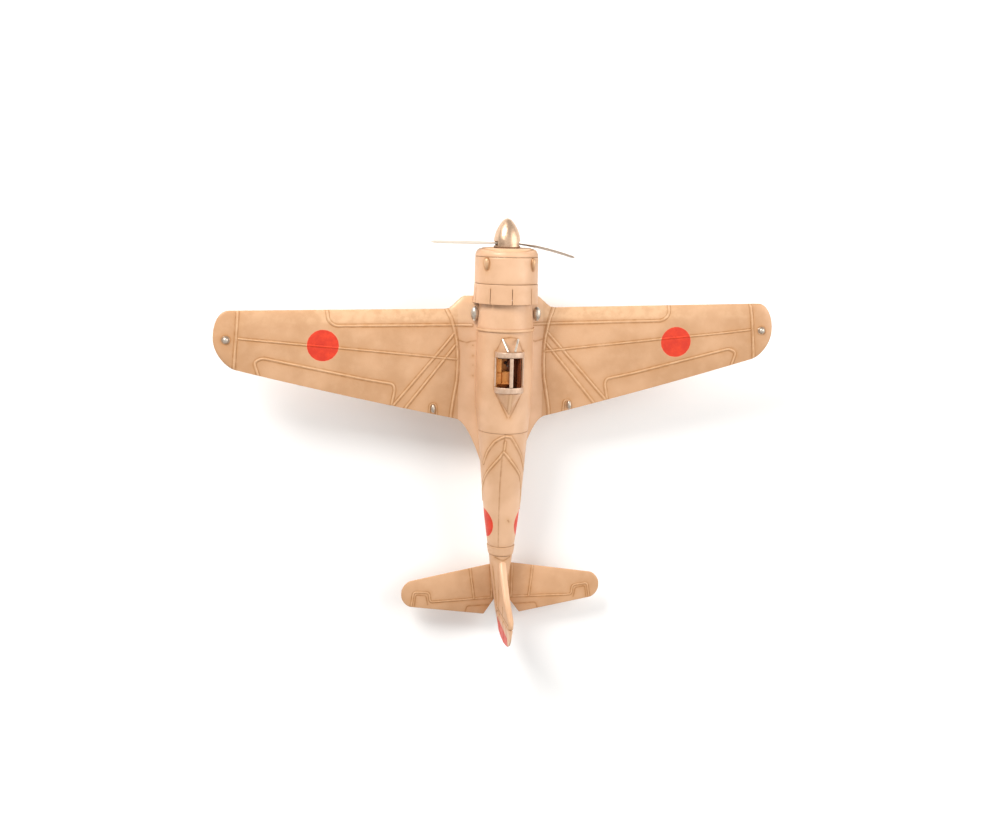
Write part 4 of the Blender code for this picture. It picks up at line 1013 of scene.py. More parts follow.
def fuselage_band():
    """Rounded hoop over the fuselage behind the cowl."""
    angle = np.radians(np.linspace(-86.0, 86.0, 140))
    path = fuselage_point(np.full_like(angle, HOOP_STATION), angle, 0.62)
    points, faces = sweep(path, (0.0, 1.0, 0.0), 1.2, 0.42, 18, 0.75)
    low = np.abs(points[:, 1] - HOOP_STATION)
    # Painted highlight along the hoop's middle; brown painted shade with grime over all of it.
    marks = {"wash": smooth(low, 0.75, 1.15) * 0.75, "painted_highlight": 1.0 - smooth(low, 0.2, 0.8),
             "shade_and_grime": 0.5 + 0.0 * low,
             "disc": 0.0 * low}
    build("hoop_fuselage_band", (points, faces), BODY, "fuselage_band", marks)


# ---------------------------------------------------------------- cowl

def cylinder_flat(station, turn):
    return np.stack([station.ravel(), turn.ravel() * COWL_RADIUS], -1)


def cowl_grid(stations, turn, radius, lines, inner_radius, shade_and_grime, label, node, holes=()):
    station = stations[:, None] + np.zeros_like(turn)
    relief, wash, painted_highlight, base_shade = emboss(cylinder_flat(station, turn), lines)
    # The given marks and the halo beside the lines are painted shade and grime; the inner face gets painted
    # shade.
    marks = sheet_marks(wash, painted_highlight, np.maximum(base_shade, shade_and_grime.ravel()), np.zeros(station.size),
                        inner_size(station, True, 4), 0.8)
    outer_radius = radius + relief.reshape(station.shape)

    def ring(size):
        return np.stack([size * np.sin(turn), station, size * np.cos(turn)], -1)

    points, faces = grid_shell(ring(outer_radius), ring(inner_radius + 0.0 * station), wrap=True,
                               holes=holes)
    points, faces, marks = drop_unused(points, faces, marks)
    build(label, (points, faces), BODY, node, marks)


BLISTERS = {"left": 48.0, "right": -45.0}


def cowl_barrel():
    turn = full_turn(336) + np.zeros((49, 1))
    stations = np.linspace(*BARREL, 49)
    station = stations[:, None] + np.zeros_like(turn)
    rim = rim_distance(station, BARREL)
    lines = []
    # Painted shade at the rims and round the foot of each blister.
    shade_and_grime = 0.55 * np.exp(-rim / 0.9)
    for degrees in BLISTERS.values():
        away = ((turn - math.radians(degrees)) * COWL_RADIUS / 2.5) ** 2 + ((station - 14.8) / 5.0) ** 2
        shade_and_grime = np.maximum(shade_and_grime, 0.9 * np.exp(-np.maximum(away - 1.0, 0.0) / 0.35))
        lines.append((ellipse_line((14.8, math.radians(degrees) * COWL_RADIUS), (4.9, 2.6)), (0.4, -0.12)))
    lines += [(np.array(((9.0, math.radians(a) * COWL_RADIUS), (30.0, math.radians(a) * COWL_RADIUS))),
               GROOVE)
              for a in (140.0, -140.0)]
    radius = COWL_RADIUS + waviness(station, turn * 20.0, 0.06) * smooth(rim, 0.0, 1.0) \
        - 0.25 * np.exp(-rim / 0.35)
    cowl_grid(stations, turn, radius, lines, COWL_RADIUS - SHEET, shade_and_grime, "pressed_cowl_barrel",
              "cowl_barrel")


def cowl_flaps():
    """Nine flaps with slots between them and slightly uneven rear edges."""
    slot, slot_start = 0.5 / COWL_RADIUS, 32.5
    pitch = 2 * math.pi / 9
    columns = []
    for number in range(9):
        start = math.radians(-1.0) + number * pitch
        columns += list(np.linspace(start - slot / 2, start + slot / 2, 4, endpoint=False))
        columns += list(np.linspace(start + slot / 2, start + pitch - slot / 2, 36, endpoint=False))
    raw = np.array(columns)
    stations = np.concatenate([np.linspace(FLAPS[0], slot_start, 8, endpoint=False),
                               np.linspace(slot_start, FLAPS[1], 29)])
    turn = np.where(raw > math.pi, raw - 2 * math.pi, raw)[None, :] + np.zeros((len(stations), 1))
    station = stations[:, None] + np.zeros_like(turn)
    number = np.floor((raw - raw[0]) / pitch + 1e-6).astype(int) % 9
    open_out = np.array((0.30, 0.10, 0.42, 0.18, 0.36, 0.05, 0.28, 0.15, 0.38))[number][None, :]
    middle = np.sin(math.pi * np.clip(((raw - raw[0]) % pitch) / pitch, 0.0, 1.0))[None, :]
    rear = (station - FLAPS[0]) / (FLAPS[1] - FLAPS[0])
    rim = rim_distance(station, FLAPS)
    slot_gap = np.abs((raw - raw[0] - slot / 2 + pitch / 2) % pitch - pitch / 2)[None, :] * COWL_RADIUS
    # Painted shade at the rims and along the slots between the flaps.
    shade_and_grime = np.maximum(0.4 * np.exp(-rim / 0.7), 0.9 * np.exp(-slot_gap / 0.8) * smooth(station, 31.0, 33.0))
    radius = COWL_RADIUS + 0.2 + 0.3 * rear + open_out * rear ** 2 * (0.5 + 0.5 * middle) \
        - 0.15 * np.exp(-(station - FLAPS[0]) / 0.35) \
        - 0.22 * np.exp(-slot_gap / 0.4) * smooth(station, 31.0, 33.0)
    holes = [(8, 36, 40 * k, 40 * k + 4) for k in range(9)]
    cowl_grid(stations, turn, radius, [], COWL_RADIUS - 0.5, shade_and_grime, "pressed_cowl_flaps", "cowl_flaps",
              holes)


def arc(centre, radius, first, last, count):
    turn = np.radians(np.linspace(first, last, count))
    return [(centre[0] + radius * math.cos(a), centre[1] + radius * math.sin(a)) for a in turn]


def nose_ring():
    """Rolled lip and shoulder in one turned ring."""
    lip = arc((17.0, -5.5), 2.2, 180.0, 38.0, 16)
    shoulder = [(r, -9.6 + 1.4 * (h + 9.6)) for r, h in arc((19.2, -9.6), 4.0, 86.0, 3.0, 18)]
    dip = [(18.92, -4.42), (19.18, -4.40)]
    profile = [(23.2, -9.6), (22.4, -9.6), (15.2, -9.6), (14.8, -8.6)] + lip + dip + shoulder

    def rake(radius, height, turn):
        """The lip is rolled further back over the top of the cowl."""
        share = smooth(radius, 16.0, 19.2) * (1.0 - smooth(radius, 19.2, 23.2)) * (height > -9.0)
        return radius, height - 2.6 * share * np.maximum(np.sin(turn), 0.0) ** 2

    points, faces = lathe(profile, 144, shape=rake)
    radius = np.hypot(points[:, 0], points[:, 2])
    dip_mark = np.exp(-((radius - 19.05) / 0.45) ** 2) * (points[:, 1] < 9.0)
    rear = np.exp(-np.abs(points[:, 1] - 9.6) / 0.45) * (radius > 21.0)
    # Painted highlight on the lip; painted shade in the dip and on the inner face of the ring.
    lit = np.exp(-((radius - 17.2) / 1.2) ** 2) * (points[:, 1] < 6.0)
    marks = {"wash": np.maximum(dip_mark * 0.8, rear * 0.55), "painted_highlight": lit,
             "shade_and_grime": np.maximum(dip_mark, 0.9 * (radius < 15.4)), "disc": 0.0 * radius}
    build("rolled_nose_ring", (points, faces), BODY, "nose_ring", marks)


def blister(side, degrees):
    """Teardrop blister, tapering aft."""
    count, around = 40, 28
    t = np.linspace(0.0, 1.0, count)
    y = 10.1 + 9.3 * t
    half = 2.30 * np.sqrt(np.clip(4 * t * (1 - t), 0.0, 1.0)) * (1.12 - 0.45 * t) + 0.02
    path = np.stack([0 * t, y, 0 * t + COWL_RADIUS - 0.35], -1)
    turn = np.arange(around) * 2 * math.pi / around
    ring = np.stack([np.cos(turn), 0 * turn, 1.12 * np.sin(turn)], -1)
    points = path[:, None] + half[:, None, None] * ring
    points[..., 2] = np.maximum(points[..., 2], COWL_RADIUS - 0.6)
    faces = flipped(tube_faces(count, around))
    points = turn_points(points.reshape(-1, 3), degrees, (0.0, 1.0, 0.0), (0.0, 0.0, 0.0))
    height = np.hypot(points[:, 0], points[:, 2]) - COWL_RADIUS
    # Painted highlight on the top of the blister; brown painted shade with grime over it, and wash at its
    # foot.
    marks = {"wash": 0.95 * np.exp(-np.maximum(height, 0.0) / 0.50), "painted_highlight": smooth(height, 0.9, 1.8),
             "shade_and_grime": 0.5 + 0.0 * height, "disc": 0.0 * height}
    build(f"teardrop_cowl_blister_{side}", (points, faces), BLISTER, f"cowl_blister_{side}", marks)


def exhaust(side):
    """Egg-shaped stub with a turned outlet."""
    t = np.radians(np.linspace(178.0, 24.0, 22))
    outer = [(3.0 * math.sin(a), 5.2 * math.cos(a)) for a in t]
    lip = [(1.55, 5.0), (1.3, 4.7), (1.2, 3.0), (0.02, 2.8)]
    profile = [(max(r, 0.02), h) for r, h in outer] + lip
    points, faces = lathe(profile, 40, (22.9 if side == "left" else -24.2, 52.0, -1.2),
                          (0.0, 1.0, 0.0), closed=False)
    build(f"turned_exhaust_{side}", (points, faces), SILVER, f"exhaust_{side}")


def engine():
    """Crankcase with nine finned cylinders, rocker boxes and push rods."""
    case = [(2.1, -7.8), (3.2, -7.9), (4.4, -8.4), (5.4, -9.2), (6.2, -10.4), (6.7, -11.8), (7.0, -13.0),
            (7.0, -14.4), (6.6, -14.8), (6.6, -18.0), (7.0, -18.4), (7.0, -21.0), (2.1, -21.0)]
    parts = [lathe(case, 54)]
    fins = []
    for step in range(10):
        base = 6.4 + 1.0 * step
        fins += [(2.05, base), (2.65, base + 0.25), (2.65, base + 0.55), (2.05, base + 0.8)]
    barrel = [(0.02, 5.4), (2.05, 5.4)] + fins + [(2.3, 16.8), (2.3, 17.6), (1.6, 18.4), (0.02, 18.4)]
    for number in range(9):
        degrees = number * 40.0
        direction = turn_points(np.array([(0.0, 0.0, 1.0)]), degrees, (0.0, 1.0, 0.0), (0.0, 0.0, 0.0))[0]
        parts.append(lathe(barrel, 22, (0.0, 16.5, 0.0), direction, closed=False))
        for aside in (-7.0, 7.0):
            rod = bar((0.0, 10.2, 5.2), (0.0, 13.6, 16.6), 0.32, 10)
            parts.append((turn_points(rod[0], degrees + aside, (0.0, 1.0, 0.0), (0.0, 0.0, 0.0)), rod[1]))
    solid = merge(*parts)
    build("finned_engine", solid, DARK, "engine")


# ---------------------------------------------------------------- propeller

def spinner():
    """Egg-shaped shell with notches for the blades."""
    outline = np.array(((0.0, 18.1), (1.5, 17.8), (2.9, 16.9), (4.2, 15.5), (5.5, 13.8), (7.1, 11.2),
                        (8.4, 8.4), (9.3, 5.4), (9.8, 2.6), (9.9, 0.0), (9.6, -3.6)))
    run = np.concatenate([[0.0], np.cumsum(np.linalg.norm(np.diff(outline, axis=0), axis=1))])
    fine = np.linspace(0.0, run[-1], 61)
    radius, height = np.interp(fine, run, outline[:, 0]), np.interp(fine, run, outline[:, 1])
    for column in (radius, height):
        column[2:-2] = np.convolve(column, np.hanning(7)[1:-1] / np.hanning(7).sum(), mode="valid")
    columns = 160
    turn = np.arange(columns) * 2 * math.pi / columns
    radius[0] = 0.03
    lip = 0.16 * np.exp(-((height + 2.4) / 0.35) ** 2)

    def surface(inward):
        size = np.maximum(radius + lip * (inward == 0.0) - inward, 0.02)[:, None]
        return np.stack([size * np.sin(turn), -(height - inward * 0.8)[:, None] + 0 * turn,
                         size * np.cos(turn)], -1)

    first = int(np.argmax(height < 1.6))
    first -= first % 4
    wide = math.asin(6.2 / 9.9) / (2 * math.pi) * columns
    wide = int(round(wide / 4)) * 4
    holes = [(first, 56, 40 - wide, 40 + wide), (first, 56, 120 - wide, 120 + wide)]
    points, faces = grid_shell(surface(0.0), surface(0.8), wrap=True, holes=holes)
    points, faces, _ = drop_unused(points, faces, {})
    build("egg_spinner", (points, faces), CHAMPAGNE, "spinner", body="propeller_assembly")


def propeller():
    """Two thin twisted blades in one sheet; the starboard one is bent back."""
    count, around = 129, 40
    place = np.linspace(-1.0, 1.0, count)
    along = np.abs(place)
    x = np.where(place > 0.0, 56.2, 51.3) * place
    chord = 7.0 + 5.2 * np.sin(math.pi / 2 * np.minimum(1.0, along / 0.5)) ** 1.2
    chord = chord * np.sqrt(np.clip(1.0 - (np.maximum(along - 0.93, 0.0) / 0.0705) ** 2, 0.0, 1.0)) + 0.05
    pitch = np.sign(x) * np.radians(8.5) * (1.0 - 0.35 * along) * np.minimum(1.0, along * 2.5)
    sweep_back = np.where(place < 0.0, 10.0 * along ** 1.7, 0.0)
    across = np.stack([0 * x, np.sin(pitch), np.cos(pitch)], -1)
    normal = np.stack([0 * x, np.cos(pitch), -np.sin(pitch)], -1)
    turn = np.arange(around) * 2 * math.pi / around
    thick = 0.5 * np.clip((1.0 - along) / 0.03, 0.25, 1.0) * (1.0 + 0.5 * np.exp(-(along / 0.25) ** 2))
    bulge = np.sign(np.sin(turn)) * np.abs(np.sin(turn)) ** 0.7
    centre = np.stack([x, sweep_back, 0 * x], -1)
    points = centre[:, None] + across[:, None] * (chord[:, None] / 2 * np.cos(turn))[..., None] \
        + normal[:, None] * (np.minimum(thick, 0.5 + 0.2 * (along < 0.18))[:, None] * bulge)[..., None]
    faces = tube_faces(count, around)
    build("twisted_propeller", (points.reshape(-1, 3), faces), BLADE, "propeller",
          body="propeller_assembly")


def propeller_fittings():
    plate = [(1.8, -3.0), (5.8, -3.0), (6.2, -2.95), (6.6, -3.05), (6.95, -3.4), (7.0, -3.7), (6.8, -3.8),
             (1.8, -3.8)]
    solid = lathe(plate, 64)
    build("turned_backplate", solid, CHAMPAGNE, "propeller_backplate", body="propeller_assembly")
    threads = [(1.5 - 0.12 * (k % 2), -8.1 + 0.22 * k) for k in range(16)]
    shaft = [(0.02, -8.5), (1.2, -8.5)] + threads + [(1.5, -4.0), (1.5, 15.4), (1.2, 16.0), (0.02, 16.0)]
    solid = lathe(shaft, 32, axis=(0, 1, 0), closed=False)
    build("threaded_shaft", solid, SILVER, "propeller_shaft", body="propeller_assembly")

    def hexagon(radius, height, turn):
        flat = 2.85 / np.cos((turn + math.pi / 6) % (math.pi / 3) - math.pi / 6)
        return np.where(radius > 2.0, np.minimum(radius * flat / 3.0, flat * radius / 3.0), radius), height

    nut = [(1.8, 6.8), (2.6, 6.8), (3.0, 6.5), (3.0, 4.3), (2.6, 4.0), (1.8, 4.0)]
    solid = lathe(nut, 48, shape=hexagon)
    build("hexagon_nut", solid, SILVER, "propeller_nut", body="propeller_assembly", sharp=25.0)


# ---------------------------------------------------------------- cockpit and canopy

def cockpit():
    """Tub with ribs and floor boards, bucket seat, dial panel and stick."""
    parts = [rounded_box((0.0, 92.0, 4.4), (18.8, 31.0, 0.8), 0.2)]
    for sign in (1.0, -1.0):
        parts.append(rounded_box((sign * 9.0, 92.0, 11.2), (0.8, 31.0, 14.4), 0.2))
        parts.append(rounded_box((0.0, 92.0 + sign * 15.1, 11.2), (18.8, 0.8, 14.4), 0.2))
        parts.append(rounded_box((sign * 8.3, 92.0, 12.4), (0.7, 29.0, 0.9), 0.25))
        for y in (83.0, 88.0, 102.0):
            parts.append(rounded_box((sign * 8.35, y, 11.0), (0.6, 0.9, 13.0), 0.2))
        parts.append(rounded_box((sign * 2.6, 86.8, 5.6), (1.9, 3.0, 1.0), 0.35))
    for x in (-5.6, -2.8, 0.0, 2.8, 5.6):
        parts.append(rounded_box((x, 92.0, 4.95), (2.3, 28.6, 0.35), 0.12))
    parts.append(rounded_box((6.7, 86.5, 10.6), (3.6, 15.0, 11.6), 0.6, 4))
    parts.append(rounded_box((6.7, 98.6, 10.0), (3.6, 8.4, 10.4), 0.6, 4))
    solid = merge(*parts)
    build("ribbed_cockpit_tub", solid, BROWN, "cockpit_tub")
    parts = [rounded_box((0.0, 98.0, 9.0), (8.6, 8.6, 7.2), 0.9, 4),
             rounded_box((0.0, 102.6, 9.6), (8.8, 1.2, 8.0), 0.5, 4)]
    for sign in (1.0, -1.0):
        parts.append(rounded_box((sign * 4.0, 99.0, 9.0), (0.8, 7.6, 3.2), 0.35))
    for x in (-2.4, 0.0, 2.4):
        parts.append(rounded_box((x, 101.9, 9.8), (1.9, 0.8, 6.2), 0.35, 4))
    solid = merge(*parts)
    build("bucket_seat", solid, BROWN, "seat")
    parts = [rounded_box((0.0, 83.0, 13.6), (16.2, 0.8, 7.8), 0.25)]
    for x, z, radius in ((-5.4, 15.0, 1.5), (-1.8, 15.4, 1.3), (1.8, 15.4, 1.3), (5.4, 15.0, 1.5),
                         (-3.6, 12.0, 1.1), (0.0, 12.0, 1.3), (3.6, 12.0, 1.1)):
        ring = [(radius - 0.30, -0.05), (radius - 0.22, 0.24), (radius, 0.24), (radius, -0.05)]
        parts.append(lathe(ring, 24, (x, 83.4, z), (0.0, 1.0, 0.0)))
        parts.append(bar((x, 83.3, z), (x, 83.55, z), radius * 0.16, 8))
    solid = merge(*parts)
    build("dial_panel", solid, DARK, "instrument_panel")
    grip = [(0.02, 12.0), (0.5, 12.1), (0.75, 12.6), (0.78, 13.0), (0.6, 13.4), (0.02, 13.5)]
    boot = [(0.02, 5.0), (1.3, 5.0), (1.15, 5.4), (0.7, 5.7), (0.45, 6.2), (0.02, 6.3)]
    points, faces = merge(bar((0.0, 88.0, 5.1), (0.0, 89.4, 12.6), 0.42, 14),
                          lathe(grip, 20, (0.0, 89.4, 0.0), (0, 0, 1), closed=False),
                          lathe(boot, 20, (0.0, 88.0, 0.0), (0, 0, 1), closed=False))
    build("gripped_stick", (points, faces), DARK, "control_stick")


def arch(half_width, foot, top, station, count=49):
    turn = np.linspace(0.0, math.pi, count)
    return np.stack([half_width * np.cos(turn), station + 0 * turn,
                     foot + (top - foot) * np.sin(turn) ** 0.8], -1)


def canopy():
    for label, front, rear in (("front", 77.8, 81.8), ("rear", 103.6, 108.0)):
        path = arch(10.4, 20.3, 29.6, (front + rear) / 2)
        solid = sweep(path, (0.0, 1.0, 0.0), (rear - front) / 2, 0.42, 22, 0.6)
        build(f"rounded_canopy_hoop_{label}", solid, FRAME_METAL, f"canopy_hoop_{label}")
    path = np.linspace((0.0, 82.1, 29.6), (0.0, 103.3, 29.6), 24)
    solid = sweep(path, (1.0, 0.0, 0.0), 1.35, 0.42, 18, 0.8)
    build("rounded_canopy_top_bar", solid, FRAME_METAL, "canopy_top_bar")
    for side, sign in (("left", 1.0), ("right", -1.0)):
        path = np.linspace((sign * 10.4, 82.1, 20.9), (sign * 10.4, 103.3, 20.9), 24)
        solid = sweep(path, (1.0, 0.0, 0.0), 0.6, 0.6, 16)
        build(f"bent_canopy_sill_{side}", solid, FRAME_METAL, f"canopy_sill_{side}")
        start, end = np.array((sign * 2.5, 77.2, 28.8)), np.array((sign * 5.9, 68.4, 22.6))
        solid = sweep(np.linspace(start, end, 16), (1.0, 0.7 * sign, 0.0), 0.85, 0.45, 16, 0.8)
        build(f"flat_windscreen_post_{side}", solid, SILVER, f"windscreen_post_{side}")


def canopy_fairing():
    """Tapering fairing behind the rear hoop, with a ridge along its back."""
    count, around = 49, 65
    station = np.linspace(108.3, 125.3, count)
    fade = (125.7 - station) / 17.4
    width = 10.8 * fade ** 0.8
    crown = 21.2 + 8.8 * fade ** 0.9
    turn = np.linspace(0.0, math.pi, around)
    x = width[:, None] * np.cos(turn)[None, :]
    z = 12.0 + (crown[:, None] - 12.0) * np.sin(turn)[None, :] ** 0.8
    y = station[:, None] + 0 * x
    ridge = np.exp(-(x / 0.9) ** 2) * (turn[None, :] > 0.6) * (turn[None, :] < 2.5)
    top = np.stack([x, y, z + 0.35 * ridge * smooth(z, 20.0, 24.0)], -1)
    under = np.stack([x * 0.9, y, 12.0 + 0 * z], -1)
    points, faces = grid_shell(top, under, step=4)
    skin = fuselage_size(station)[1][:, None] * np.sqrt(np.clip(1 - (x / 21.0) ** 2, 0.1, 1.0))
    away = (z - skin).ravel()
    extra = len(points) - top.shape[0] * top.shape[1]
    wash = np.maximum(0.9 * np.exp(-np.maximum(away, 0.0) / 0.5),
                      0.45 * np.exp(-((np.abs(x) - 1.3) / 0.4) ** 2).ravel())
    # Painted shade near the foot of the fairing; the ridge gets a painted highlight.
    shade_and_grime = 0.35 + 0.6 * np.exp(-np.maximum(away, 0.0) / 1.5)
    marks = sheet_marks(wash, ridge.ravel(), shade_and_grime, np.zeros(x.size), extra, 0.0)
    build("ridged_canopy_fairing", (points, flipped(faces)), BODY, "canopy_fairing", marks)


# ---------------------------------------------------------------- tail surfaces

ELEVATOR_LINE = rounded([(3.0, 271.6), (55.5, 273.0), (56.4, 265.4), (68.2, 264.2), (70.4, 277.0)], 2.2)
STABILIZER_LINES = [
    (ELEVATOR_LINE, FINE_BEAD),
    (rounded([(57.4, 275.0), (58.8, 267.6), (66.4, 266.6), (67.6, 275.6)], 1.6), GROOVE),
    ([(25.4, 240.0), (21.6, 271.6)], FINE_BEAD), ([(8.4, 240.0), (7.4, 272.0)], FINE_BEAD),
    (rounded([(29.0, 284.0), (27.0, 277.8), (9.6, 277.8)], 1.6), GROOVE)]
STABILIZER_LINES = as_lines(STABILIZER_LINES)


def stabilizer(side):
    rows, columns = 161, 81
    along = np.linspace(0.0, 1.0, rows)
    root = 5.0 if side == "left" else 2.0
    xs = root + (77.6 - root) * (0.55 * along + 0.45 * np.sin(along * math.pi / 2))
    x = xs[:, None] + np.zeros((1, columns))
    front = 245.0 + (x - 9.0) * 0.171
    rear = 284.9 - np.maximum(x - 14.0, 0.0) * 0.155 - np.maximum(14.0 - x, 0.0) * 1.4
    keep = np.sqrt(np.clip(1.0 - (np.maximum(x - 70.0, 0.0) / 7.8) ** 2, 0.0, 1.0))
    middle = 266.0
    front, rear = middle - (middle - front) * keep, middle + (rear - middle) * keep
    t = np.linspace(0.0, 1.0, columns)
    fraction = (0.5 * (0.5 - 0.5 * np.cos(math.pi * t)) + 0.5 * t)[None, :] + 0 * x
    y = front + fraction * (rear - front)
    half = (1.9 - 1.0 * x / 77.8) * (0.15 + 0.85 * np.sqrt(np.clip(4 * fraction * (1 - fraction), 0, 1))) \
        * (1.0 - 0.45 * fraction) * (0.25 + 0.75 * keep)
    spots = np.stack([x.ravel(), y.ravel()], -1)
    rim = np.minimum.reduce([y - front, rear - y, 77.8 - x])
    # Painted shade along the rims and at the root against the tail cone.
    relief, marks = plan_marks(spots, STABILIZER_LINES, None, inner_size(x, False, 1),
                               np.maximum(0.5 * np.exp(-rim / 1.0), 0.8 * np.exp(-(x - 7.0) / 2.0)).ravel())
    calm = smooth(rim, 0.0, 0.9)
    bumps = relief.reshape(x.shape) * calm
    upper = np.stack([x, y, -3.0 + half + bumps + waviness(x, y, 0.04) * calm], -1)
    lower = np.stack([x, y, -3.0 - half - bumps], -1)
    # The lower face takes the same wash, painted highlight and painted shade as the upper one.
    for key in ("wash", "painted_highlight", "shade_and_grime"):
        marks[key][x.size:] = marks[key][:x.size]
    points, faces = grid_shell(upper, lower, step=1)
    if side == "right":
        points, faces = mirrored(points, faces)
    build(f"pressed_stabilizer_{side}", (points, faces), CREAM, f"stabilizer_{side}", marks, square=True)


def upright(name, node, outline, front_is_edge, half_of, lines, red=None, rear_half=None):
    """Fin or rudder: rows by height, columns once round the section."""
    outline = np.array(outline)
    rows, columns = 113, 128
    run = np.linspace(0.0, 1.0, rows)
    heights = np.interp(run, np.linspace(0, 1, len(outline)), outline[:, 0])
    edge = np.interp(heights, outline[:, 0], outline[:, 1])
    z = heights[:, None] + np.zeros((1, columns))
    front = (edge if front_is_edge else np.full(rows, HINGE + 0.4))[:, None]
    rear = (np.full(rows, HINGE - 0.2) if front_is_edge else edge)[:, None]
    half = half_of(z)
    turn = np.arange(columns) / columns
    share = 1.0 - np.abs(2.0 * turn - 1.0)
    share = share ** 1.35
    sign = np.where(turn < 0.5, 1.0, -1.0)
    y = front + share[None, :] * (rear - front)
    nose = np.clip((y - front) / (1.15 * half), 0.0, 1.0)
    rounding = np.sqrt(np.clip(1.0 - (1.0 - nose) ** 2, 0.0, 1.0))
    back = rear_half(z) if rear_half else half * 0.85
    body = half + (back - half) * (y - front) / np.maximum(rear - front, 1e-6)
    top = outline[:, 0].max()
    crown = np.sqrt(np.clip(1.0 - (np.maximum(z - (top - 3.0), 0.0) / 3.05) ** 2, 0.02, 1.0))
    x = sign[None, :] * body * rounding * crown
    spots = np.stack([y.ravel(), z.ravel()], -1)
    relief, wash, painted_highlight, shade_and_grime = emboss(spots, as_lines(lines))
    x = x + sign[None, :] * relief.reshape(x.shape) * (np.abs(x) > 0.45)
    points = np.stack([x, y, z], -1)
    faces = flipped(tube_faces(rows, columns))
    # Painted shade near the foot; along the hinge the darker paint is partly wash for the joint and partly
    # painted shade.
    low = 0.7 * np.exp(-(z.ravel() - outline[:, 0].min()) / 2.5)
    hinge = 0.8 * np.exp(-np.abs(y.ravel() - HINGE) / 0.9)
    depth = np.zeros(x.size) if red is None else red(y, z).ravel()
    marks = {"wash": np.maximum(wash, hinge * 0.7), "painted_highlight": painted_highlight,
             "shade_and_grime": np.maximum.reduce([shade_and_grime, low, hinge]),
             "disc": depth}
    build(name, (points.reshape(-1, 3), faces), BODY, node, marks)


def fin_and_rudder():
    outline = ((4.0, 235.2), (9.0, 235.7), (14.0, 239.0), (22.0, 249.5), (33.0, 259.8), (43.0, 266.2),
               (48.5, 269.6), (51.8, 272.2), (53.5, 275.5))
    upright("pressed_fin", "fin", outline, True, lambda z: 3.1 * (1.0 - 0.005 * z),
            [([(262.0, 14.0), (278.0, 14.0)], FINE_BEAD), ([(270.0, 30.0), (278.0, 30.0)], FINE_BEAD),
             ([(276.2, 6.0), (276.2, 51.0)], GROOVE)])
    outline = ((-1.0, 290.5), (6.0, 295.5), (15.0, 297.8), (28.0, 298.4), (40.0, 296.6), (47.5, 293.0),
               (51.8, 288.0), (53.5, 284.0))

    def red_patch(y, z):
        return np.maximum(0.0, 2.0 + np.minimum.reduce([y - 285.5 - (z - 20.0) * 0.12, 44.0 - z, z - 6.0]))

    upright("pressed_rudder", "rudder", outline, False, lambda z: 3.1 * (0.85 - 0.0043 * z),
            [([(280.0, 14.0), (296.0, 14.0)], FINE_BEAD), ([(280.0, 30.0), (296.0, 30.0)], FINE_BEAD),
             ([(280.0, 5.0), (294.0, 5.0)], GROOVE), ([(280.0, 42.0), (292.0, 42.0)], GROOVE)],
            red_patch, lambda z: 0.5 + 0 * z)


# ---------------------------------------------------------------- lamps

def lamps():
    for side, sign in (("left", 1.0), ("right", -1.0)):
        centre = (sign * 201.1, 67.2, wing_height(201.1) + 2.3)
        dome = [(0.02, -0.4), (3.0, -0.4), (3.0, 0.3), (2.75, 0.55), (2.35, 0.5), (2.2, 0.75)]
        dome += [(2.2 * math.cos(a), 0.75 + 1.75 * math.sin(a)) for a in np.linspace(0.08, 1.54, 14)]
        points, faces = turned(dome, 48, centre, (0, 0, 1))
        height = (points[:, 2] - centre[2])
        marks = {"wash": np.exp(-((height - 0.6) / 0.22) ** 2) * 0.8}
        build(f"domed_tip_lamp_{side}", (points, faces), SILVER, f"tip_lamp_{side}", marks, square=True)
        centre = np.array((51.5 if side == "left" else -53.2, 123.2, float(wing_height(51.7)) + 1.7))
        profile = [(0.02, -0.4), (1.7, -0.4)] + [(1.7 * math.cos(a), 1.75 * math.sin(a))
                                                 for a in np.linspace(0.02, 1.54, 12)]
        points, faces = turned(profile, 40, (0, 0, 0), (0, 0, 1))
        points = points * np.array((1.0, 1.9, 1.0)) + centre
        marks = {"wash": 0.8 * np.exp(-np.maximum(points[:, 2] - centre[2], 0.0) / 0.3)}
        build(f"domed_root_lamp_{side}", (points, faces), SILVER, f"root_lamp_{side}", marks, square=True)


# ---------------------------------------------------------------- undercarriage

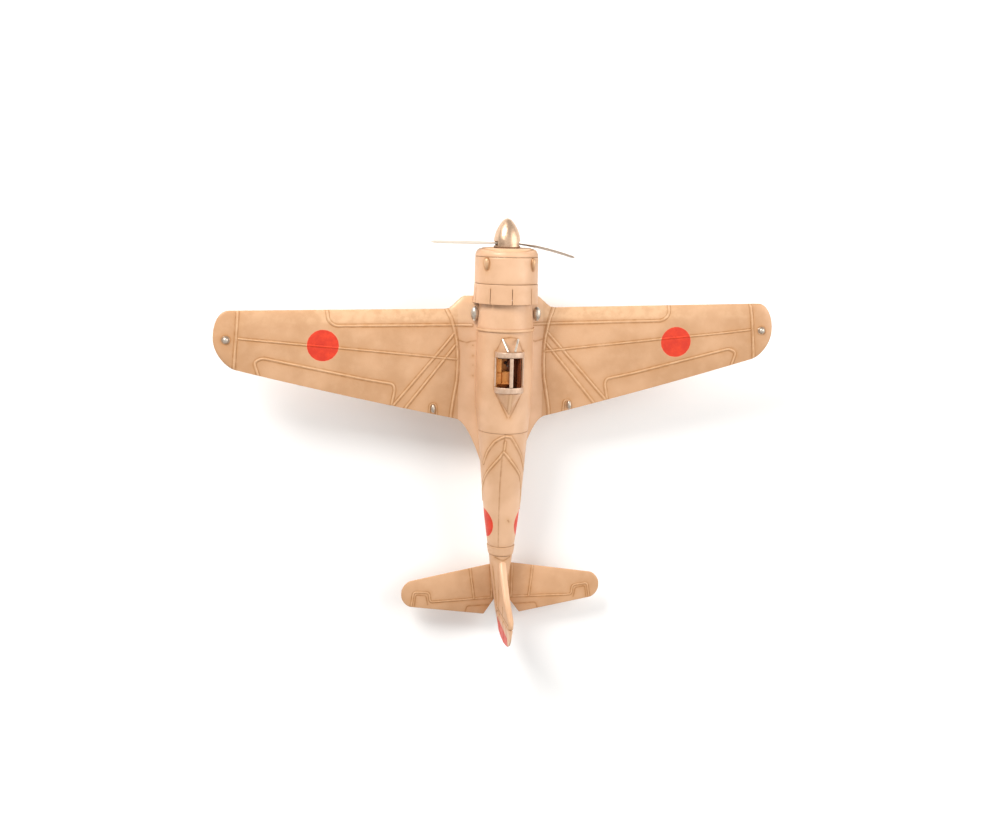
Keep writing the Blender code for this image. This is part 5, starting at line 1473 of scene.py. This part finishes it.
def wheel(side, centre, body, radius, width, with_tyre):
    """Hub with lightening holes, and a tyre with ribs and tread blocks."""
    half = width / 2
    rim = radius * 0.60 if with_tyre else radius + 0.2
    bore = 1.3
    face = [(bore, half), (rim * 0.30, half), (rim * 0.38, half * 0.92), (rim * 0.45, half * 0.60),
            (rim * 0.80, half * 0.50), (rim * 0.88, half * 0.62), (rim - 0.35, half * 0.80),
            (rim - 0.2, half * 0.74)]
    profile = face + [(r, -h) for r, h in face[::-1]]

    def lobes(sizes, heights, turn):
        dent = 0.16 * half * np.clip(np.cos(6 * turn), 0.0, 1.0) ** 0.5
        band = ((sizes > rim * 0.42) & (sizes < rim * 0.84))
        return sizes, heights - np.sign(heights) * dent * band

    points, faces = lathe(profile, 72, centre, (1, 0, 0), shape=lobes)
    name = "tail_wheel" if not with_tyre else f"wheel_hub_{side}"
    build(f"spoked_{name}", (points, faces), SILVER if with_tyre else (DARK[0], "silver_metal"), name,
          body=body,
          square=with_tyre)
    if not with_tyre:
        return
    inner = rim + 0.1
    turn = np.linspace(0.10, math.pi - 0.10, 37)
    profile = [(inner + (radius - 0.05 - inner) * math.sin(a) ** 0.62, half * math.cos(a)) for a in turn]
    profile += [(inner, -half * 0.9), (inner, half * 0.9)]

    def tread(sizes, heights, around):
        crown = smooth(sizes, radius - 0.9, radius - 0.3)
        ribs = 0.22 * crown * (np.cos(heights * 2 * math.pi / 1.15) < -0.25)
        blocks = 0.16 * crown * (np.cos(36 * around) > 0.55) * (np.abs(heights) > 0.7)
        ring = 0.14 * np.exp(-((sizes - rim - 1.5) / 0.22) ** 2)
        return sizes - np.maximum(ribs, blocks), heights + np.sign(heights) * ring * 0.5

    solid = lathe(profile, 216, centre, (1, 0, 0), shape=tread)
    build(f"treaded_tyre_{side}", solid, RUBBER, f"tyre_{side}", body=body, square=True)


def main_gear():
    for side, sign in (("left", 1.0), ("right", -1.0)):
        centre = joint_at(f"wheel_{side}_roll")
        wheel(side, centre, f"wheel_{side}", 12.0, 5.6, True)
        leg_x = centre[0] + sign * 5.6
        top = float(wing_height(leg_x)) - 4.8
        foot = centre[2]
        down = [(0.02, 0.0), (3.9, 0.0), (4.2, 0.25), (4.2, 0.95), (3.9, 1.2), (2.8, 1.35), (2.6, 1.7),
                (2.6, 13.4), (2.75, 13.6), (2.75, 14.6), (2.5, 15.0), (1.8, 15.2), (1.8, top - foot - 3.4),
                (2.1, top - foot - 2.8),
                (2.35, top - foot - 1.6), (2.4, top - foot), (2.2, top - foot + 1.4),
                (1.4, top - foot + 2.0), (0.02, top - foot + 2.0)]
        parts = [lathe(down, 40, (leg_x, 69.0, top), (0.0, 0.028, -1.0), closed=False)]
        upper = np.array((leg_x, 67.0, top - 14.0))
        elbow = np.array((leg_x, 62.6, (top - 14.0 + foot + 4.0) / 2))
        lower = np.array((leg_x, 68.0, foot + 4.0))
        for start, end, widths in ((upper, elbow, (1.3, 0.8)), (elbow, lower, (0.8, 1.3))):
            path = np.linspace(start, end, 8)
            parts.append(sweep(path, (1.0, 0.0, 0.0), np.linspace(*widths, 8), 0.4, 14, 0.7))
        parts.append(bar(elbow - (1.2, 0, 0), elbow + (1.2, 0, 0), 0.6, 14))
        for k in range(4):
            a = math.radians(45 + 90 * k)
            parts.append(bar((leg_x + 3.3 * math.cos(a), 69.0 + 3.3 * math.sin(a), top - 1.6),
                             (leg_x + 3.3 * math.cos(a), 69.0 + 3.3 * math.sin(a), top - 1.0), 0.5, 6))
        solid = merge(*parts)
        build(f"stepped_gear_leg_{side}", solid, SILVER, f"gear_leg_{side}", square=True)
        inboard = centre[0] - sign * 3.6
        outboard = leg_x + sign * 2.4
        pin = [(0.02, 0.0), (1.5, 0.1), (1.7, 0.3), (1.5, 0.62), (1.0, 0.7),
               (1.0, abs(outboard - inboard) - 0.3),
               (0.7, abs(outboard - inboard)), (0.02, abs(outboard - inboard))]
        solid = lathe(pin, 28, (inboard, centre[1], centre[2]), (sign, 0, 0), closed=False)
        build(f"headed_axle_{side}", solid, SILVER, f"axle_{side}", square=True)


def tail_gear():
    centre = np.array((0.0, 263.0, joint_at("tail_wheel_roll")[2]))
    wheel("tail", centre, "tail_wheel_body", 5.0, 3.0, False)
    top = fuselage_size(259.0)[2] - fuselage_size(259.0)[1] - 0.2
    start = np.array((0.0, 259.0, float(top)))
    crown = np.array((0.0, 261.2, centre[2] + 7.2))
    length = float(np.linalg.norm(crown - start))
    stem = [(0.02, 0.0), (2.3, 0.0), (2.3, 0.5), (1.7, 0.9), (1.6, length * 0.5), (1.25, length * 0.55),
            (1.25, length), (0.02, length)]
    parts = [lathe(stem, 28, start, crown - start, closed=False), rounded_box(crown, (6.0, 3.0, 1.4), 0.4)]
    for sign in (1.0, -1.0):
        path = np.array([(sign * 2.6, 261.4, centre[2] + 7.4), (sign * 2.6, 262.0, centre[2] + 4.0),
                         (sign * 2.6, 262.8, centre[2] + 0.5), (sign * 2.6, 263.0, centre[2] - 1.6)])
        fine = np.stack([np.interp(np.linspace(0, 3, 20), range(4), path[:, k]) for k in range(3)], -1)
        parts.append(sweep(fine, (0.0, 1.0, 0.0), np.linspace(1.3, 1.8, 20), 0.5, 16, 0.8))
    solid = merge(*parts)
    build("forked_tail_leg", solid, SILVER, "tail_leg")
    pin = [(0.02, 0.0), (1.2, 0.0), (1.35, 0.25), (1.0, 0.5), (1.0, 6.9), (1.35, 7.15), (1.2, 7.4),
           (0.02, 7.4)]
    solid = lathe(pin, 24, centre - (3.7, 0, 0), (1, 0, 0), closed=False)
    build("headed_tail_axle", solid, SILVER, "tail_axle")


def finish_carried_nodes():
    """Give the hidden-away CAD pieces that stay their own finish."""
    for node in ("firewall", "wing_spar"):
        thing = frame["nodes"][node]
        for slot in thing.material_slots:
            slot.material = DARK[0]


# ---------------------------------------------------------------- studio

def area_light(name, location, target, size, power, colour=(1.0, 1.0, 1.0)):
    light = bpy.data.lights.new(name, "AREA")
    light.shape = "DISK"
    light.size = size
    light.energy = power
    light.color = colour
    thing = bpy.data.objects.new(name, light)
    thing.location = location
    thing.rotation_euler = (Vector(target) - Vector(location)).to_track_quat("-Z", "Y").to_euler()
    SCENE.collection.objects.link(thing)


def studio():
    low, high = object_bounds()
    centre = (Vector(low) + Vector(high)) / 2
    floor_mesh = bpy.data.meshes.new("floor")
    reach, ground = 6.0, Vector(low).z
    floor_mesh.from_pydata([(-reach, -reach, ground), (reach, -reach, ground), (reach, reach, ground),
                            (-reach, reach, ground)], [], [(0, 1, 2, 3)])
    n = Nodes("pale_floor")
    tint = n.mix(n.span(n.noise(3.0, 2.0), 0.3, 0.7), (0.90, 0.90, 0.90), (0.94, 0.94, 0.94))
    floor_mesh.materials.append(n.finish(tint, 0.9))
    floor = bpy.data.objects.new("floor", floor_mesh)
    SCENE.collection.objects.link(floor)
    floor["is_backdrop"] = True
    world = bpy.data.worlds.new("studio")
    world.use_nodes = True
    world.node_tree.nodes["Background"].inputs["Color"].default_value = (1.0, 0.985, 0.96, 1.0)
    world.node_tree.nodes["Background"].inputs["Strength"].default_value = 0.50
    SCENE.world = world
    area_light("key", centre + Vector((0.66, -0.82, 0.80)), centre, 0.6, 15.0, (1.0, 0.98, 0.95))
    area_light("fill", centre + Vector((-1.15, -0.15, 0.85)), centre, 1.4, 14.0, (1.0, 0.99, 0.97))
    area_light("overhead", centre + Vector((0.1, 0.3, 1.9)), centre, 2.2, 6.0)


def camera():
    """Seen from nearly straight above the wings, a little from the port side."""
    data = bpy.data.cameras.new("camera")
    data.lens = 43.2
    data.sensor_width = 36.0
    data.clip_start = 0.01
    thing = bpy.data.objects.new("camera", data)
    lit_side_split = Matrix.Rotation(math.radians(10.19), 4, "Y")
    turn = lit_side_split @ Matrix.Rotation(math.radians(180.0 - 1.66), 4, "Z")
    target = Vector(place_points([(1.7, 125.3, -0.3)])[0])
    back = turn.to_3x3() @ Vector((0.0, 0.0, 1.0))
    thing.matrix_world = Matrix.Translation(target + back * 0.9033) @ turn
    SCENE.collection.objects.link(thing)
    SCENE.camera = thing


for side in ("left", "right"):
    wing_skin(side, True)
    wing_skin(side, False)
    wing_tip(side)
    fillet(side)
    rear_fuselage(side)
    exhaust(side)
    stabilizer(side)
front_fuselage()
fuselage_band()
tail_band()
tail_cone()
nose_ring()
cowl_barrel()
cowl_flaps()
for side, degrees in BLISTERS.items():
    blister(side, degrees)
engine()
spinner()
propeller()
propeller_fittings()
cockpit()
canopy()
canopy_fairing()
fin_and_rudder()
lamps()
main_gear()
tail_gear()
finish_carried_nodes()
studio()
camera()
SCENE.view_settings.view_transform = "Standard"
